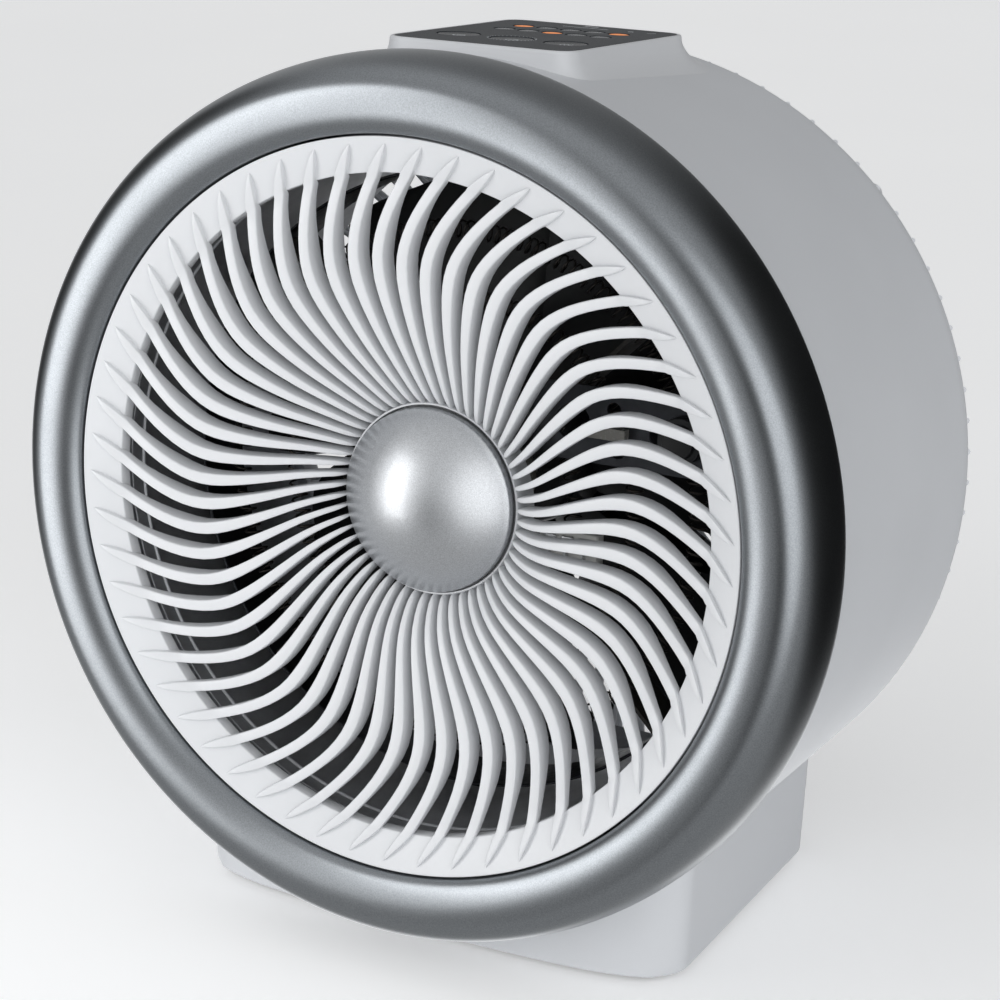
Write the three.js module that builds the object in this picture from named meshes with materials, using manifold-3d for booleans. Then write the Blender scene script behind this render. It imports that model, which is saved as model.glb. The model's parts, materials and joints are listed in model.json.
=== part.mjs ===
// Fan convector heater: a short drum with a satin bezel, a swirl outlet grille and a top control pod,
// carried on a low pedestal. Millimetres, +Z up, the outlet faces -Y, the floor is Z = 0.
import * as THREE from "three";
import { mergeVertices } from "three/addons/utils/BufferGeometryUtils.js";
import Module from "manifold-3d";

const wasm = await Module();
wasm.setup();

// ---- driving dimensions -------------------------------------------------------------------------
const GAP = 0.3; // clearance between pieces that touch
const TILT = THREE.MathUtils.degToRad(4.86); // the drum looks up a little
const FOOT_HEIGHT = 2.6;
const SHELL_BOTTOM = 2.5; // lower edge of the pedestal above the floor
const AXIS_HEIGHT = 163.3; // centre of the bezel seam above the floor

// Drum pieces are drawn in the drum's own frame: +Z out of the outlet, +Y up, origin at the seam centre.
const RING = {
  outer: 152, seam: 126.3, seamZ: -0.6, widestZ: -20.6, crestR: 139, crestZ: 4.75, backZ: -25.2, wall: 3,
};
const RING_SHOULDER = 0.833; // under 1 gives a fuller shoulder than an ellipse
const DRUM = { frontR: 149, rearR: 145.9, frontZ: -25.7, rearZ: -160, wall: 3 };
const RIM = { outer: 125.6, inner: 113.2, outerZ: -0.4, innerZ: -5.9, wall: 2.3, skirtZ: -16 };
const VANE = { count: 57, depth: 8, rootWidth: 1.7, widening: 0.06, width: 4.2 };
const HUB = { outer: 35.2, wall: 2.2, frontZ: -28, backZ: -36, floor: 2, hole: 3 };
const CAP = { radius: 32, tipZ: -9.3, crownR: 41, shoulderR: 31.4, shoulderZ: -24.7, baseZ: -27.4 };
const CAP_STEM = { radius: 2.7, endZ: -39 };
const CAP_WALL = 2.2;
const DUCT = { inner: 116.5, wall: 1.6, frontZ: -17, rearZ: -121, flange: 139.5 };
const REAR = { ribs: 80, rimR: 144.4, innerR: 136.5, ribWidth: 2.4, hub: 45, thick: 2.8 };
const REAR_DEPTH = { rim: -160.3, edge: -165.5, shoulder: -169.4, dome: -172.4 };
const LAP = 0.1; // small step where a turned rim is joined to a pierced plate
const PANEL = { halfWidth: 34, frontZ: -47, rearZ: -138, topY: 152.4, thick: 1.6, corner: 6 };
const POD = { footHalf: 45.5, footFrontZ: -42, footRearZ: -155, rim: 1.7, wall: 2.5, lowY: 132 };
const BUTTON = { radius: 7.5, flange: 8.8, pitch: 20.6, z: -72.5 };
const LED = { radius: 3.8, pitch: 9.4, columns: 5, rows: [-102.5, -117] };
const BOARD = { halfWidth: 29.5, topY: 142.1, thick: 1.6, frontZ: -54, rearZ: -131 };
const BASE = {
  halfWidth: 96.3, frontY: 13.9, rearY: 141.2, bow: 3.5, corner: 9.1, topZ: 78, wall: 3, radius: 7,
};
const BASE_FLARE = Math.tan(THREE.MathUtils.degToRad(3));
const PLATE = { bottom: 2.9, thick: 1.6 };
const SHAFT = { radius: 3, frontZ: -84, rearZ: -157 };
const FAN = { hub: 24, tip: 106, frontZ: -92, rearZ: -116, blades: 7, thick: 2 };
const MOTOR = { radius: 41, frontZ: -127, rearZ: -156, wall: 1.8, stator: 34, rotor: 18 };
const SHELF = { inner: 134, frontZ: -121.4, rearZ: -122.6 };
const SPIDER = { frontZ: -123, thick: 3, arms: 3, width: 14, hub: 30, reach: 139.5 };
const REAR_SCREW = { circle: 141.2, headZ: -163.6, hole: 1.8, sink: 3 };
const HEAT = { ringR: 110, ringZ: -52, ringDepth: 24, boards: 4, boardZ: -52.5, coilZ: -48, coilR: 3.4 };
const COIL_RADII = [44, 67, 90];
const ROUND = 60; // facets of the large turned pieces

// ---- solids ------------------------------------------------------------------------------------
const toSolid = (geometry) => {
  const bare = geometry.index ? geometry.toNonIndexed() : geometry.clone();
  for (const name of Object.keys(bare.attributes)) if (name !== "position") bare.deleteAttribute(name);
  const merged = mergeVertices(bare, 1e-4);
  const triVerts = new Uint32Array(merged.index.array);
  const build = () =>
    new wasm.Manifold(new wasm.Mesh({ numProp: 3, vertProperties: merged.attributes.position.array, triVerts }));
  let made = build();
  if (made.volume() < 0) {
    for (let i = 0; i < triVerts.length; i += 3) triVerts.subarray(i + 1, i + 3).reverse();
    made = build();
  }
  return made;
};

const toGeometry = (manifold) => {
  const mesh = manifold.getMesh();
  const points = new Float32Array(mesh.numVert * 3);
  for (let i = 0; i < mesh.numVert; i++) {
    points.set(mesh.vertProperties.subarray(i * mesh.numProp, i * mesh.numProp + 3), i * 3);
  }
  const geometry = new THREE.BufferGeometry();
  geometry.setAttribute("position", new THREE.BufferAttribute(points, 3));
  geometry.setIndex(new THREE.BufferAttribute(new Uint32Array(mesh.triVerts), 1));
  geometry.computeVertexNormals();
  return geometry;
};

const union = (solids) => solids.reduce((all, one) => all.add(one));
const cut = (solid, tools) => tools.reduce((left, tool) => left.subtract(tool), solid);

// A closed [radius, z] outline turned about Z. Ends on the axis or closes on itself.
const turned = (outline, segments = ROUND) => {
  const points = outline.map(([r, z]) => new THREE.Vector2(r, z));
  const onAxis = outline[0][0] === 0 && outline.at(-1)[0] === 0;
  if (!onAxis) points.push(points[0].clone());
  return toSolid(new THREE.LatheGeometry(points, segments).rotateX(Math.PI / 2));
};

const rod = (radius, z0, z1, segments = 24) =>
  turned([[0, z0], [radius, z0], [radius, z1], [0, z1]], segments);
const tube = (inner, outer, z0, z1, segments = 20) =>
  turned([[inner, z0], [outer, z0], [outer, z1], [inner, z1]], segments);
const block = (x0, x1, y0, y1, z0, z1) =>
  toSolid(
    new THREE.BoxGeometry(x1 - x0, y1 - y0, z1 - z0).translate((x0 + x1) / 2, (y0 + y1) / 2, (z0 + z1) / 2),
  );

// Skin through equal-length rings of points, closed at both ends: each ring is convex or star-shaped.
const loft = (rings) => {
  const count = rings[0].length;
  const points = rings.flat();
  const index = [];
  for (let ring = 0; ring + 1 < rings.length; ring++) {
    for (let i = 0; i < count; i++) {
      const a = ring * count + i;
      const b = ring * count + ((i + 1) % count);
      index.push(a, b, b + count, a, b + count, a + count);
    }
  }
  const last = (rings.length - 1) * count;
  for (let i = 1; i + 1 < count; i++) {
    index.push(0, i + 1, i);
    index.push(last, last + i, last + i + 1);
  }
  const geometry = new THREE.BufferGeometry().setFromPoints(points);
  geometry.setIndex(index);
  return toSolid(geometry);
};

const roundedRect = (x0, x1, z0, z1, radius, y, steps = 3) => {
  const ring = [];
  const corners = [[x1 - radius, z1 - radius], [x0 + radius, z1 - radius], [x0 + radius, z0 + radius],
    [x1 - radius, z0 + radius]];
  corners.forEach(([cx, cz], quarter) => {
    for (let i = 0; i <= steps; i++) {
      const a = ((quarter + i / steps) * Math.PI) / 2;
      ring.push(new THREE.Vector3(cx + radius * Math.cos(a), y, cz + radius * Math.sin(a)));
    }
  });
  return ring;
};

// A turned piece stood along Y instead of Z, for what is set square to the control panel.
const alongY = (solid, x, z) => solid.rotate([-90, 0, 0]).translate([x, 0, z]);

// ---- scene graph ---------------------------------------------------------------------------------
const heater = new THREE.Group();
const drum = new THREE.Group();
drum.rotation.x = Math.PI / 2 - TILT;
drum.position.z = AXIS_HEIGHT;
heater.add(drum);
const pedestal = new THREE.Group();
heater.add(pedestal);

const FINISH = {
  satin_silver: [0x8d9196, 0.32, 0.9],
  cap_silver: [0xb9bcc0, 0.35, 0.85],
  white_plastic: [0xe6e8ea, 0.45, 0],
  grey_white_plastic: [0xd6d9dc, 0.5, 0],
  panel_plastic: [0x41464c, 0.4, 0],
  lens: [0x8a8f94, 0.3, 0],
  black_plastic: [0x17181a, 0.5, 0],
  rubber: [0x1c1c1d, 0.9, 0],
  steel: [0xa7abae, 0.35, 1],
  galvanised: [0x7d8286, 0.45, 0.8],
  mica: [0x8c8574, 0.6, 0],
  ceramic: [0xe9e4d8, 0.4, 0],
  wire: [0x6f6a62, 0.45, 0.8],
  board: [0x1f4a33, 0.6, 0],
  dark_fan: [0x24272a, 0.5, 0],
};

const place = (group, name, solid, finish) => {
  const [color, roughness, metalness] = FINISH[finish];
  const mesh = new THREE.Mesh(
    toGeometry(solid),
    new THREE.MeshStandardMaterial({ color, roughness, metalness }),
  );
  mesh.name = name;
  group.add(mesh);
};

// ---- bezel ring: a hollow moulding with a full outer shoulder, open at the back ---------------------
const quarterEllipse = (centreR, centreZ, semiR, semiZ, steps, shoulder = 1) => {
  const points = [];
  for (let i = 0; i <= steps; i++) {
    const a = (i / steps) * (Math.PI / 2);
    const across = Math.sin(a) ** shoulder;
    const along = Math.max(0, Math.cos(a)) ** shoulder;
    points.push([centreR + semiR * across, centreZ + semiZ * along]);
  }
  return points;
};

const bezelRing = () => {
  const rise = RING.crestZ - RING.widestZ;
  const flank = quarterEllipse(RING.crestR, RING.seamZ, RING.seam - RING.crestR, RING.crestZ - RING.seamZ, 4);
  flank.reverse().pop();
  const outer = quarterEllipse(RING.crestR, RING.widestZ, RING.outer - RING.crestR, rise, 6, RING_SHOULDER);
  const inner = quarterEllipse(
    RING.crestR + 2, RING.widestZ, RING.outer - RING.crestR - 2 - RING.wall, rise - RING.wall, 2,
  ).reverse();
  return turned([
    [RING.seam, -6],
    ...flank,
    ...outer,
    [RING.outer - 0.5, -23.6], [RING.outer - 2.2, RING.backZ], [147.1, RING.backZ],
    ...inner,
    [RING.seam + 2.6, -2.4], [RING.seam + 2.6, -6],
  ]);
};

// ---- outlet grille: conical rim, swept vanes and a hub cup, in one moulding ------------------------
// Depth of the vane crests behind the seam plane: a shallow cone that falls into a funnel at the hub.
const crestDepth = (r) =>
  17 - 0.1 * r + 12 * Math.exp((34 - r) / 13.5) - THREE.MathUtils.smoothstep(r, 70, 105);
const rimDepth = (r) =>
  -RIM.outerZ + ((RIM.outer - r) / (RIM.outer - RIM.inner)) * (RIM.outerZ - RIM.innerZ);

// Plan of a vane: it sweeps anticlockwise from the hub, then bends back to its tip. [radius, degrees]
const SWEEP = new THREE.CatmullRomCurve3(
  [[30, 2.2], [42, 4.6], [58, 8.6], [72, 10.6], [83, 10.6], [93, 8.6], [108, 3.8], [122, -1]].map(
    ([r, degrees]) => new THREE.Vector3(r, degrees, 0),
  ),
);
const sweepAngle = (r) => {
  let low = 0;
  let high = 1;
  for (let i = 0; i < 30; i++) {
    const middle = (low + high) / 2;
    if (SWEEP.getPoint(middle).x < r) low = middle;
    else high = middle;
  }
  return THREE.MathUtils.degToRad(SWEEP.getPoint(low).y);
};

const vaneWidth = (r) => Math.min(VANE.width, VANE.rootWidth + VANE.widening * (r - HUB.outer));

// One edge of a vane in plan, from the hub out to the rim; side is +1 on its anticlockwise edge.
const VANE_STATIONS = [HUB.outer + 0.6, 43, 57, 74, 93, RIM.inner];
const vaneEdge = (turn, side) =>
  VANE_STATIONS.map((r) => {
    const a = turn + sweepAngle(r) + (side * vaneWidth(r)) / (2 * r);
    return new THREE.Vector2(r * Math.cos(a), r * Math.sin(a));
  });

// A round plate pierced by holes, with its two faces moved to the depths that frontZ and backZ give.
const piercedDome = (radius, segments, holes, frontZ, backZ) => {
  const outline = [];
  for (let i = 0; i < segments; i++) {
    const a = (i * 2 * Math.PI) / segments;
    outline.push(new THREE.Vector2(radius * Math.cos(a), radius * Math.sin(a)));
  }
  const shape = new THREE.Shape(outline);
  for (const hole of holes) shape.holes.push(new THREE.Path(hole));
  const geometry = new THREE.ExtrudeGeometry(shape, { depth: 1, bevelEnabled: false });
  const position = geometry.getAttribute("position");
  for (let i = 0; i < position.count; i++) {
    const r = Math.hypot(position.getX(i), position.getY(i));
    position.setZ(i, position.getZ(i) > 0.5 ? frontZ(r) : backZ(r));
  }
  return toSolid(geometry);
};

const outletGrille = () => {
  const step = (2 * Math.PI) / VANE.count;
  const gaps = [];
  for (let i = 0; i < VANE.count; i++) {
    gaps.push([...vaneEdge(i * step, 1), ...vaneEdge((i + 1) * step, -1).reverse()]);
  }
  const front = (r) => (r > RIM.inner - LAP ? LAP - rimDepth(r) : -crestDepth(r));
  const back = (r) => -crestDepth(r) - VANE.depth;
  const vanes = piercedDome(RIM.inner + 1.6, VANE.count, gaps, front, back);
  const joint = RIM.inner + 0.6;
  const rim = turned([
    [joint, -rimDepth(joint)], [RIM.outer, RIM.outerZ], [RIM.outer, RIM.skirtZ],
    [RIM.outer - RIM.wall, RIM.skirtZ], [RIM.outer - RIM.wall, RIM.outerZ - 2 * RIM.wall],
    [joint, -rimDepth(joint) - RIM.wall],
  ]);
  const bore = HUB.outer - HUB.wall;
  const cup = turned([
    [HUB.hole, HUB.backZ + HUB.floor], [bore, HUB.backZ + HUB.floor], [bore, HUB.frontZ],
    [HUB.outer, HUB.frontZ], [HUB.outer, HUB.backZ], [HUB.hole, HUB.backZ],
  ], 30);
  return union([vanes.subtract(rod(bore + LAP, -60, 0, 30)), rim, cup]);
};

// ---- hub cap: a hollow dome on a stem ------------------------------------------------------------------
const hubCap = () => {
  const centreZ = CAP.tipZ - CAP.crownR;
  const onSphere = (radius) => (r) => [r, centreZ + Math.sqrt(radius * radius - r * r)];
  const inside = CAP.radius - CAP_WALL;
  const crown = [0, 6, 12, 18, 23, 27.5, CAP.shoulderR].map(onSphere(CAP.crownR));
  const hollow = [inside, 23, 15, CAP_STEM.radius].map(onSphere(CAP.crownR - CAP_WALL));
  return turned([
    ...crown, [CAP.radius, CAP.shoulderZ], [CAP.radius, CAP.baseZ], [inside, CAP.baseZ],
    ...hollow, [CAP_STEM.radius, CAP_STEM.endZ], [0, CAP_STEM.endZ],
  ], 30);
};

// ---- screws that hold the rear grille to the drum ------------------------------------------------------
const REAR_SCREW_SPOTS = [45, 135, 225, 315].map((degrees) => {
  const angle = THREE.MathUtils.degToRad(degrees);
  return [REAR_SCREW.circle * Math.cos(angle), REAR_SCREW.circle * Math.sin(angle)];
});
const rearScrewHoles = (radius, z0, z1) =>
  REAR_SCREW_SPOTS.map(([x, y]) => rod(radius, z0, z1, 10).translate([x, y, 0]));
const rearScrew = ([x, y]) => {
  const head = REAR_SCREW.headZ;
  const outline = [
    [0, head - 1.6], [2, head - 1.6], [2.6, head], [1.4, head], [1.4, head + 9], [0, head + 9],
  ];
  return turned(outline, 8).translate([x, y, 0]);
};

// ---- drum shell with a window under the control pod -------------------------------------------------
const drumRadius = (z) =>
  DRUM.frontR + ((DRUM.rearR - DRUM.frontR) * (z - DRUM.frontZ)) / (DRUM.rearZ - DRUM.frontZ);
const drumEnvelope = (grow, frontZ = DRUM.frontZ + grow) =>
  turned([
    [0, frontZ], [DRUM.frontR + grow, frontZ], [DRUM.rearR + grow, DRUM.rearZ - grow], [0, DRUM.rearZ - grow],
  ]);

const drumShell = () => {
  const spigotR = 146.6;
  const spigotZ = -17;
  const shell = turned([
    [spigotR - DRUM.wall, spigotZ], [spigotR, spigotZ], [spigotR, DRUM.frontZ], [DRUM.frontR, DRUM.frontZ],
    [drumRadius(-157.4), -157.4], [DRUM.rearR - 1.5, DRUM.rearZ], [137, DRUM.rearZ],
    [137, DRUM.rearZ + DRUM.wall], [drumRadius(-150) - DRUM.wall, DRUM.rearZ + DRUM.wall],
    [drumRadius(SHELF.rearZ) - DRUM.wall, SHELF.rearZ], [SHELF.inner, SHELF.rearZ],
    [SHELF.inner, SHELF.frontZ], [drumRadius(SHELF.frontZ) - DRUM.wall, SHELF.frontZ],
    [DRUM.frontR - DRUM.wall, -30], [spigotR - DRUM.wall, -28],
  ]);
  return cut(shell, [block(-32, 32, 120, 160, -134, -51), ...rearScrewHoles(REAR_SCREW.hole, -170, -150)]);
};

// ---- rear grille: a shallow dome with radial slots between a centre disc and the rim -----------------
const rearGrille = () => {
  const step = (2 * Math.PI) / REAR.ribs;
  const slotEdge = (turn, side) =>
    [REAR.hub, REAR.innerR].map((r) => {
      const a = turn + (side * REAR.ribWidth) / (2 * r);
      return new THREE.Vector2(r * Math.cos(a), r * Math.sin(a));
    });
  const slots = [];
  for (let i = 0; i < REAR.ribs; i++) {
    slots.push([...slotEdge(i * step, 1), ...slotEdge((i + 1) * step, -1).reverse()]);
  }
  const front = (r) => (r > REAR.hub + 1 ? REAR_DEPTH.rim - LAP : REAR_DEPTH.dome + REAR.thick);
  const back = (r) => (r < REAR.hub + 1 ? REAR_DEPTH.dome : REAR_DEPTH.shoulder);
  const ribs = piercedDome(REAR.innerR + 1.5, REAR.ribs, slots, front, back);
  const joint = REAR.innerR + 0.6;
  const rim = turned([
    [joint, REAR_DEPTH.rim], [REAR.rimR, REAR_DEPTH.rim], [REAR.rimR, REAR_DEPTH.edge],
    [joint, REAR_DEPTH.shoulder + LAP],
  ]);
  return cut(ribs.add(rim), [
    ...rearScrewHoles(REAR_SCREW.hole, -175, -155),
    ...rearScrewHoles(REAR_SCREW.sink, -175, REAR_SCREW.headZ + GAP),
  ]);
};

// ---- control pod, panel and its switches -------------------------------------------------------------
const panelHole = (x, z, radius, y0, y1, segments = 16) => alongY(rod(radius, y0, y1, segments), x, z);

const podOutline = (grow, y) =>
  roundedRect(
    -PANEL.halfWidth - grow, PANEL.halfWidth + grow, PANEL.rearZ - grow, PANEL.frontZ + grow, PANEL.corner + grow, y,
  );
const podFoot = (inset, y) =>
  roundedRect(
    -POD.footHalf + inset, POD.footHalf - inset, POD.footRearZ + inset, POD.footFrontZ - inset, 12, y,
  );

const controlPod = () => {
  const outside = loft([
    podFoot(0, POD.lowY), podFoot(0, 139.5), podOutline(5.5, 143), podOutline(2.6, 149),
    podOutline(POD.rim, PANEL.topY - 0.6), podOutline(POD.rim - 0.6, PANEL.topY),
  ]);
  const recess = loft([
    podOutline(GAP, PANEL.topY - PANEL.thick - GAP), podOutline(GAP, PANEL.topY + 1),
  ]);
  const cavity = loft([podOutline(-POD.wall, 120), podOutline(-POD.wall, PANEL.topY)]);
  return cut(outside, [drumEnvelope(GAP), recess, cavity]);
};

const BUTTON_X = [-BUTTON.pitch, 0, BUTTON.pitch];
const BUTTON_NAMES = ["timer_button", "power_button", "mode_button"];
const LED_SPOTS = LED.rows.flatMap((z) =>
  Array.from({ length: LED.columns }, (_, i) => [(i - (LED.columns - 1) / 2) * LED.pitch, z]),
);
const IR_WINDOW = { x: -1, halfWidth: 3, z0: -137, z1: -133.5 };

const controlPanel = () => {
  const low = PANEL.topY - PANEL.thick;
  const plate = loft([podOutline(0, low), podOutline(0, PANEL.topY)]);
  const holes = [
    ...BUTTON_X.map((x) => panelHole(x, BUTTON.z, BUTTON.radius + 0.4, low - 1, PANEL.topY + 1, 24)),
    ...LED_SPOTS.map(([x, z]) => panelHole(x, z, LED.radius + GAP, low - 1, PANEL.topY + 1, 10)),
    block(
      IR_WINDOW.x - IR_WINDOW.halfWidth - GAP, IR_WINDOW.x + IR_WINDOW.halfWidth + GAP, low - 1,
      PANEL.topY + 1, IR_WINDOW.z0 - GAP, IR_WINDOW.z1 + GAP,
    ),
  ];
  return cut(plate, holes);
};

const indicatorLens = () => {
  const under = PANEL.topY - PANEL.thick - GAP;
  const [front, rear] = LED.rows;
  const sheet = block(-25, 25, under - 1.5, under, rear - 6, front + 6);
  const spots = LED_SPOTS.map(([x, z]) => panelHole(x, z, LED.radius, under - 0.5, PANEL.topY - 0.15, 10));
  return union([sheet, ...spots]);
};

const pushButton = (x) => {
  const low = PANEL.topY - PANEL.thick - 0.4;
  return union([
    panelHole(x, BUTTON.z, BUTTON.radius, low - 0.6, PANEL.topY - 0.2, 20),
    panelHole(x, BUTTON.z, BUTTON.flange, low - 1.4, low, 20),
    panelHole(x, BUTTON.z, 1.6, low - 3.9, low - 1, 8),
  ]);
};

const tactSwitch = (x) => {
  const seat = BOARD.topY + GAP;
  return union([
    block(x - 3, x + 3, seat, seat + 2.2, BUTTON.z - 3, BUTTON.z + 3),
    panelHole(x, BUTTON.z, 1.6, seat + 2, seat + 3, 12),
  ]);
};

// ---- pedestal -----------------------------------------------------------------------------------------
// Plan of the pedestal: bowed front edge, straight sides and back, round corners. Y runs from the seam.
const frontEdge = (x) => {
  const u = x / BASE.halfWidth;
  return BASE.frontY + BASE.bow * u * u + BASE.corner * u ** 6;
};
const baseOutline = (inset, z) => {
  const half = BASE.halfWidth + (z - SHELL_BOTTOM) * BASE_FLARE - inset;
  const r = BASE.radius;
  const ring = [];
  const arc = (cx, cy, from) => {
    for (let i = 0; i <= 3; i++) {
      const a = ((from + i * 30) * Math.PI) / 180;
      ring.push(new THREE.Vector3(cx + r * Math.cos(a), cy + r * Math.sin(a), z));
    }
  };
  arc(half - r, BASE.rearY - inset - r, 0);
  arc(-half + r, BASE.rearY - inset - r, 90);
  const frontCorner = frontEdge(BASE.halfWidth) + inset + r - 2;
  arc(-half + r, frontCorner, 180);
  for (let i = 1; i < 10; i++) {
    const x = (-1 + i / 5) * (half - r);
    ring.push(new THREE.Vector3(x, frontEdge(x * 0.98) + inset, z));
  }
  arc(half - r, frontCorner, 270);
  return ring;
};

// The space of the drum and the bezel in the pedestal's frame, grown by a clearance.
const drumInWorld = (grow) =>
  drumEnvelope(grow, 0).rotate([90 - THREE.MathUtils.radToDeg(TILT), 0, 0]).translate([0, 0, AXIS_HEIGHT]);

const SCREW_POSTS = [[-87, 44], [87, 44], [-87, 124], [87, 124]];
const FEET = [[-76, 40], [76, 40], [-76, 128], [76, 128]];
const GLAND = { x: 80, z: 13.5, bore: 3.4, barrel: 5.2, flange: 7 };

const pedestalShell = () => {
  const outside = loft([baseOutline(0, SHELL_BOTTOM), baseOutline(0, BASE.topZ)]);
  const inside = loft([baseOutline(BASE.wall, SHELL_BOTTOM - 1), baseOutline(BASE.wall, BASE.topZ + 1)]);
  const posts = SCREW_POSTS.map(([x, y]) => rod(5.4, 5, 18, 16).translate([x * 1.02, y, 0]));
  const pilots = SCREW_POSTS.map(([x, y]) => rod(2, 4, 14, 12).translate([x, y, 0]));
  const inlet = alongY(rod(GLAND.barrel + GAP, -10, 10, 20), GLAND.x, GLAND.z).translate([0, BASE.rearY, 0]);
  const body = union([outside.subtract(inside), ...posts]).intersect(outside);
  return cut(body, [drumInWorld(0.5), inlet, ...pilots]);
};

const bottomPlate = () => {
  const top = PLATE.bottom + PLATE.thick;
  const plate = loft([baseOutline(BASE.wall + 0.5, PLATE.bottom), baseOutline(BASE.wall + 0.5, top)]);
  return cut(plate, SCREW_POSTS.map(([x, y]) => rod(2, 0, 10, 12).translate([x, y, 0])));
};

const rubberFoot = (x, y) =>
  turned([[0, 0], [7, 0], [8, 0.8], [8, FOOT_HEIGHT], [0, FOOT_HEIGHT]], 14).translate([x, y, 0]);
const plateScrew = (x, y) =>
  turned(
    [[0, 1], [3, 1], [3.6, 1.6], [3.6, FOOT_HEIGHT], [1.6, FOOT_HEIGHT], [1.6, 13], [0, 13]], 8,
  ).translate([x, y, 0]);

const cordInlet = () => {
  const outline = [[GLAND.bore, -6], [GLAND.barrel, -6], [GLAND.barrel, GAP], [GLAND.flange, GAP],
    [GLAND.flange - 0.6, 2.4], [GLAND.bore, 2.4]];
  return turned(outline, 20).rotate([-90, 0, 0]).translate([GLAND.x, BASE.rearY, GLAND.z]);
};

// ---- air path: duct, heating elements and fan -----------------------------------------------------------
const airDuct = () => {
  const outer = DUCT.inner + DUCT.wall;
  return turned([
    [DUCT.inner, DUCT.frontZ], [121.5, DUCT.frontZ], [121.5, DUCT.frontZ - DUCT.wall], [outer, -19],
    [outer, DUCT.rearZ + DUCT.wall], [DUCT.flange, DUCT.rearZ + DUCT.wall], [DUCT.flange, DUCT.rearZ],
    [DUCT.inner, DUCT.rearZ],
  ]);
};

const elementFrame = () => {
  const top = HEAT.ringZ;
  const ring = tube(HEAT.ringR - 1.2, HEAT.ringR, top - HEAT.ringDepth, top, 48);
  const tabs = [0, 1, 2].map((i) =>
    block(HEAT.ringR - 0.8, DUCT.inner - 0.6, -6, 6, top - 14, top - 12.8).rotate([0, 0, 30 + i * 120]),
  );
  return union([ring, ...tabs]);
};

const micaBoard = (i) =>
  block(17.5, HEAT.ringR - 1.8, -0.7, 0.7, HEAT.boardZ - 20, HEAT.boardZ)
    .rotate([0, 0, 45 + (i * 360) / HEAT.boards]);

const heatingCoil = (radius) => {
  const section = [];
  for (let i = 0; i < 4; i++) {
    const a = (i * Math.PI) / 2;
    section.push([radius + HEAT.coilR * Math.cos(a), HEAT.coilZ + HEAT.coilR * Math.sin(a)]);
  }
  return turned(section, 32);
};

// Control plate for the limit thermostat: a flat bar on the right of the elements, with lightening holes.
const limitPlate = () => {
  const z = -42;
  const plate = block(30, 106, 18, 44, z - 1.2, z);
  const holes = [[45, 31, 6.5], [60, 37, 2.6], [62, 24, 3.4], [78, 31, 5], [95, 31, 4.5]].map(([x, y, r]) =>
    rod(r, z - 4, z + 3, 16).translate([x, y, 0]),
  );
  return cut(plate, holes);
};

const fanBlade = (i) => {
  const stations = [[FAN.hub - 3, 36, 42], [52, 60, 33], [80, 78, 24], [FAN.tip, 78, 19]];
  const rings = stations.map(([r, chord, pitch], k) => {
    const lean = k * 0.07;
    const tiltAngle = THREE.MathUtils.degToRad(pitch);
    const across = new THREE.Vector3(-Math.sin(lean), Math.cos(lean), 0).multiplyScalar(Math.cos(tiltAngle));
    across.z = Math.sin(tiltAngle);
    const normal = new THREE.Vector3(-Math.sin(lean), Math.cos(lean), 0).multiplyScalar(-Math.sin(tiltAngle));
    normal.z = Math.cos(tiltAngle);
    const middle = new THREE.Vector3(r * Math.cos(lean), r * Math.sin(lean), (FAN.frontZ + FAN.rearZ) / 2);
    const corner = (u, v) =>
      middle.clone().addScaledVector(across, (u * chord) / 2).addScaledVector(normal, (v * FAN.thick) / 2);
    return [corner(1, 1), corner(-1, 1), corner(-1, -1), corner(1, -1)];
  });
  return loft(rings).rotate([0, 0, (i * 360) / FAN.blades]);
};

const fanImpeller = () => {
  const hub = turned(
    [
      [SHAFT.radius + GAP, FAN.frontZ - 3], [9, FAN.frontZ - 3], [9.5, FAN.frontZ], [FAN.hub - 5, FAN.frontZ],
      [FAN.hub, FAN.frontZ - 4],
      [FAN.hub, FAN.rearZ], [SHAFT.radius + GAP, FAN.rearZ],
    ],
    20,
  );
  const blades = [];
  for (let i = 0; i < FAN.blades; i++) blades.push(fanBlade(i));
  return union([hub, ...blades]).subtract(rod(SHAFT.radius + GAP, -130, -80));
};

const motorBracket = () => {
  const rear = SPIDER.frontZ - SPIDER.thick;
  const plate = rod(SPIDER.hub, rear, SPIDER.frontZ, 30);
  const arms = [];
  for (let i = 0; i < SPIDER.arms; i++) {
    arms.push(
      block(20, SPIDER.reach, -SPIDER.width / 2, SPIDER.width / 2, rear, SPIDER.frontZ).rotate([
        0, 0, 90 + (i * 360) / SPIDER.arms,
      ]),
    );
  }
  return union([plate, ...arms]).subtract(rod(11, rear - 1, SPIDER.frontZ + 1, 24));
};

// The motor case splits across its axis into two cups; each has a seat for its bearing.
const MOTOR_SPLIT = (MOTOR.frontZ + MOTOR.rearZ) / 2;
const BEARING = { bore: SHAFT.radius + 0.25, outer: 8, length: 5 };
const motorCup = (endZ, sign) => {
  const bore = BEARING.outer + GAP;
  return turned(
    [
      [bore, endZ], [MOTOR.radius - 4, endZ], [MOTOR.radius, endZ + sign * 3], [MOTOR.radius, MOTOR_SPLIT - sign * 0.2],
      [MOTOR.radius - MOTOR.wall, MOTOR_SPLIT - sign * 0.2],
      [MOTOR.radius - MOTOR.wall, endZ + sign * (3 + MOTOR.wall)], [MOTOR.radius - 6, endZ + sign * MOTOR.wall],
      [bore + 1.6, endZ + sign * MOTOR.wall], [bore + 1.6, endZ + sign * BEARING.length],
      [bore, endZ + sign * BEARING.length],
    ],
    24,
  );
};
const bearing = (endZ, sign) =>
  tube(
    BEARING.bore, BEARING.outer, Math.min(endZ + sign * 0.4, endZ + sign * BEARING.length),
    Math.max(endZ + sign * 0.4, endZ + sign * BEARING.length), 24,
  );

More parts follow.
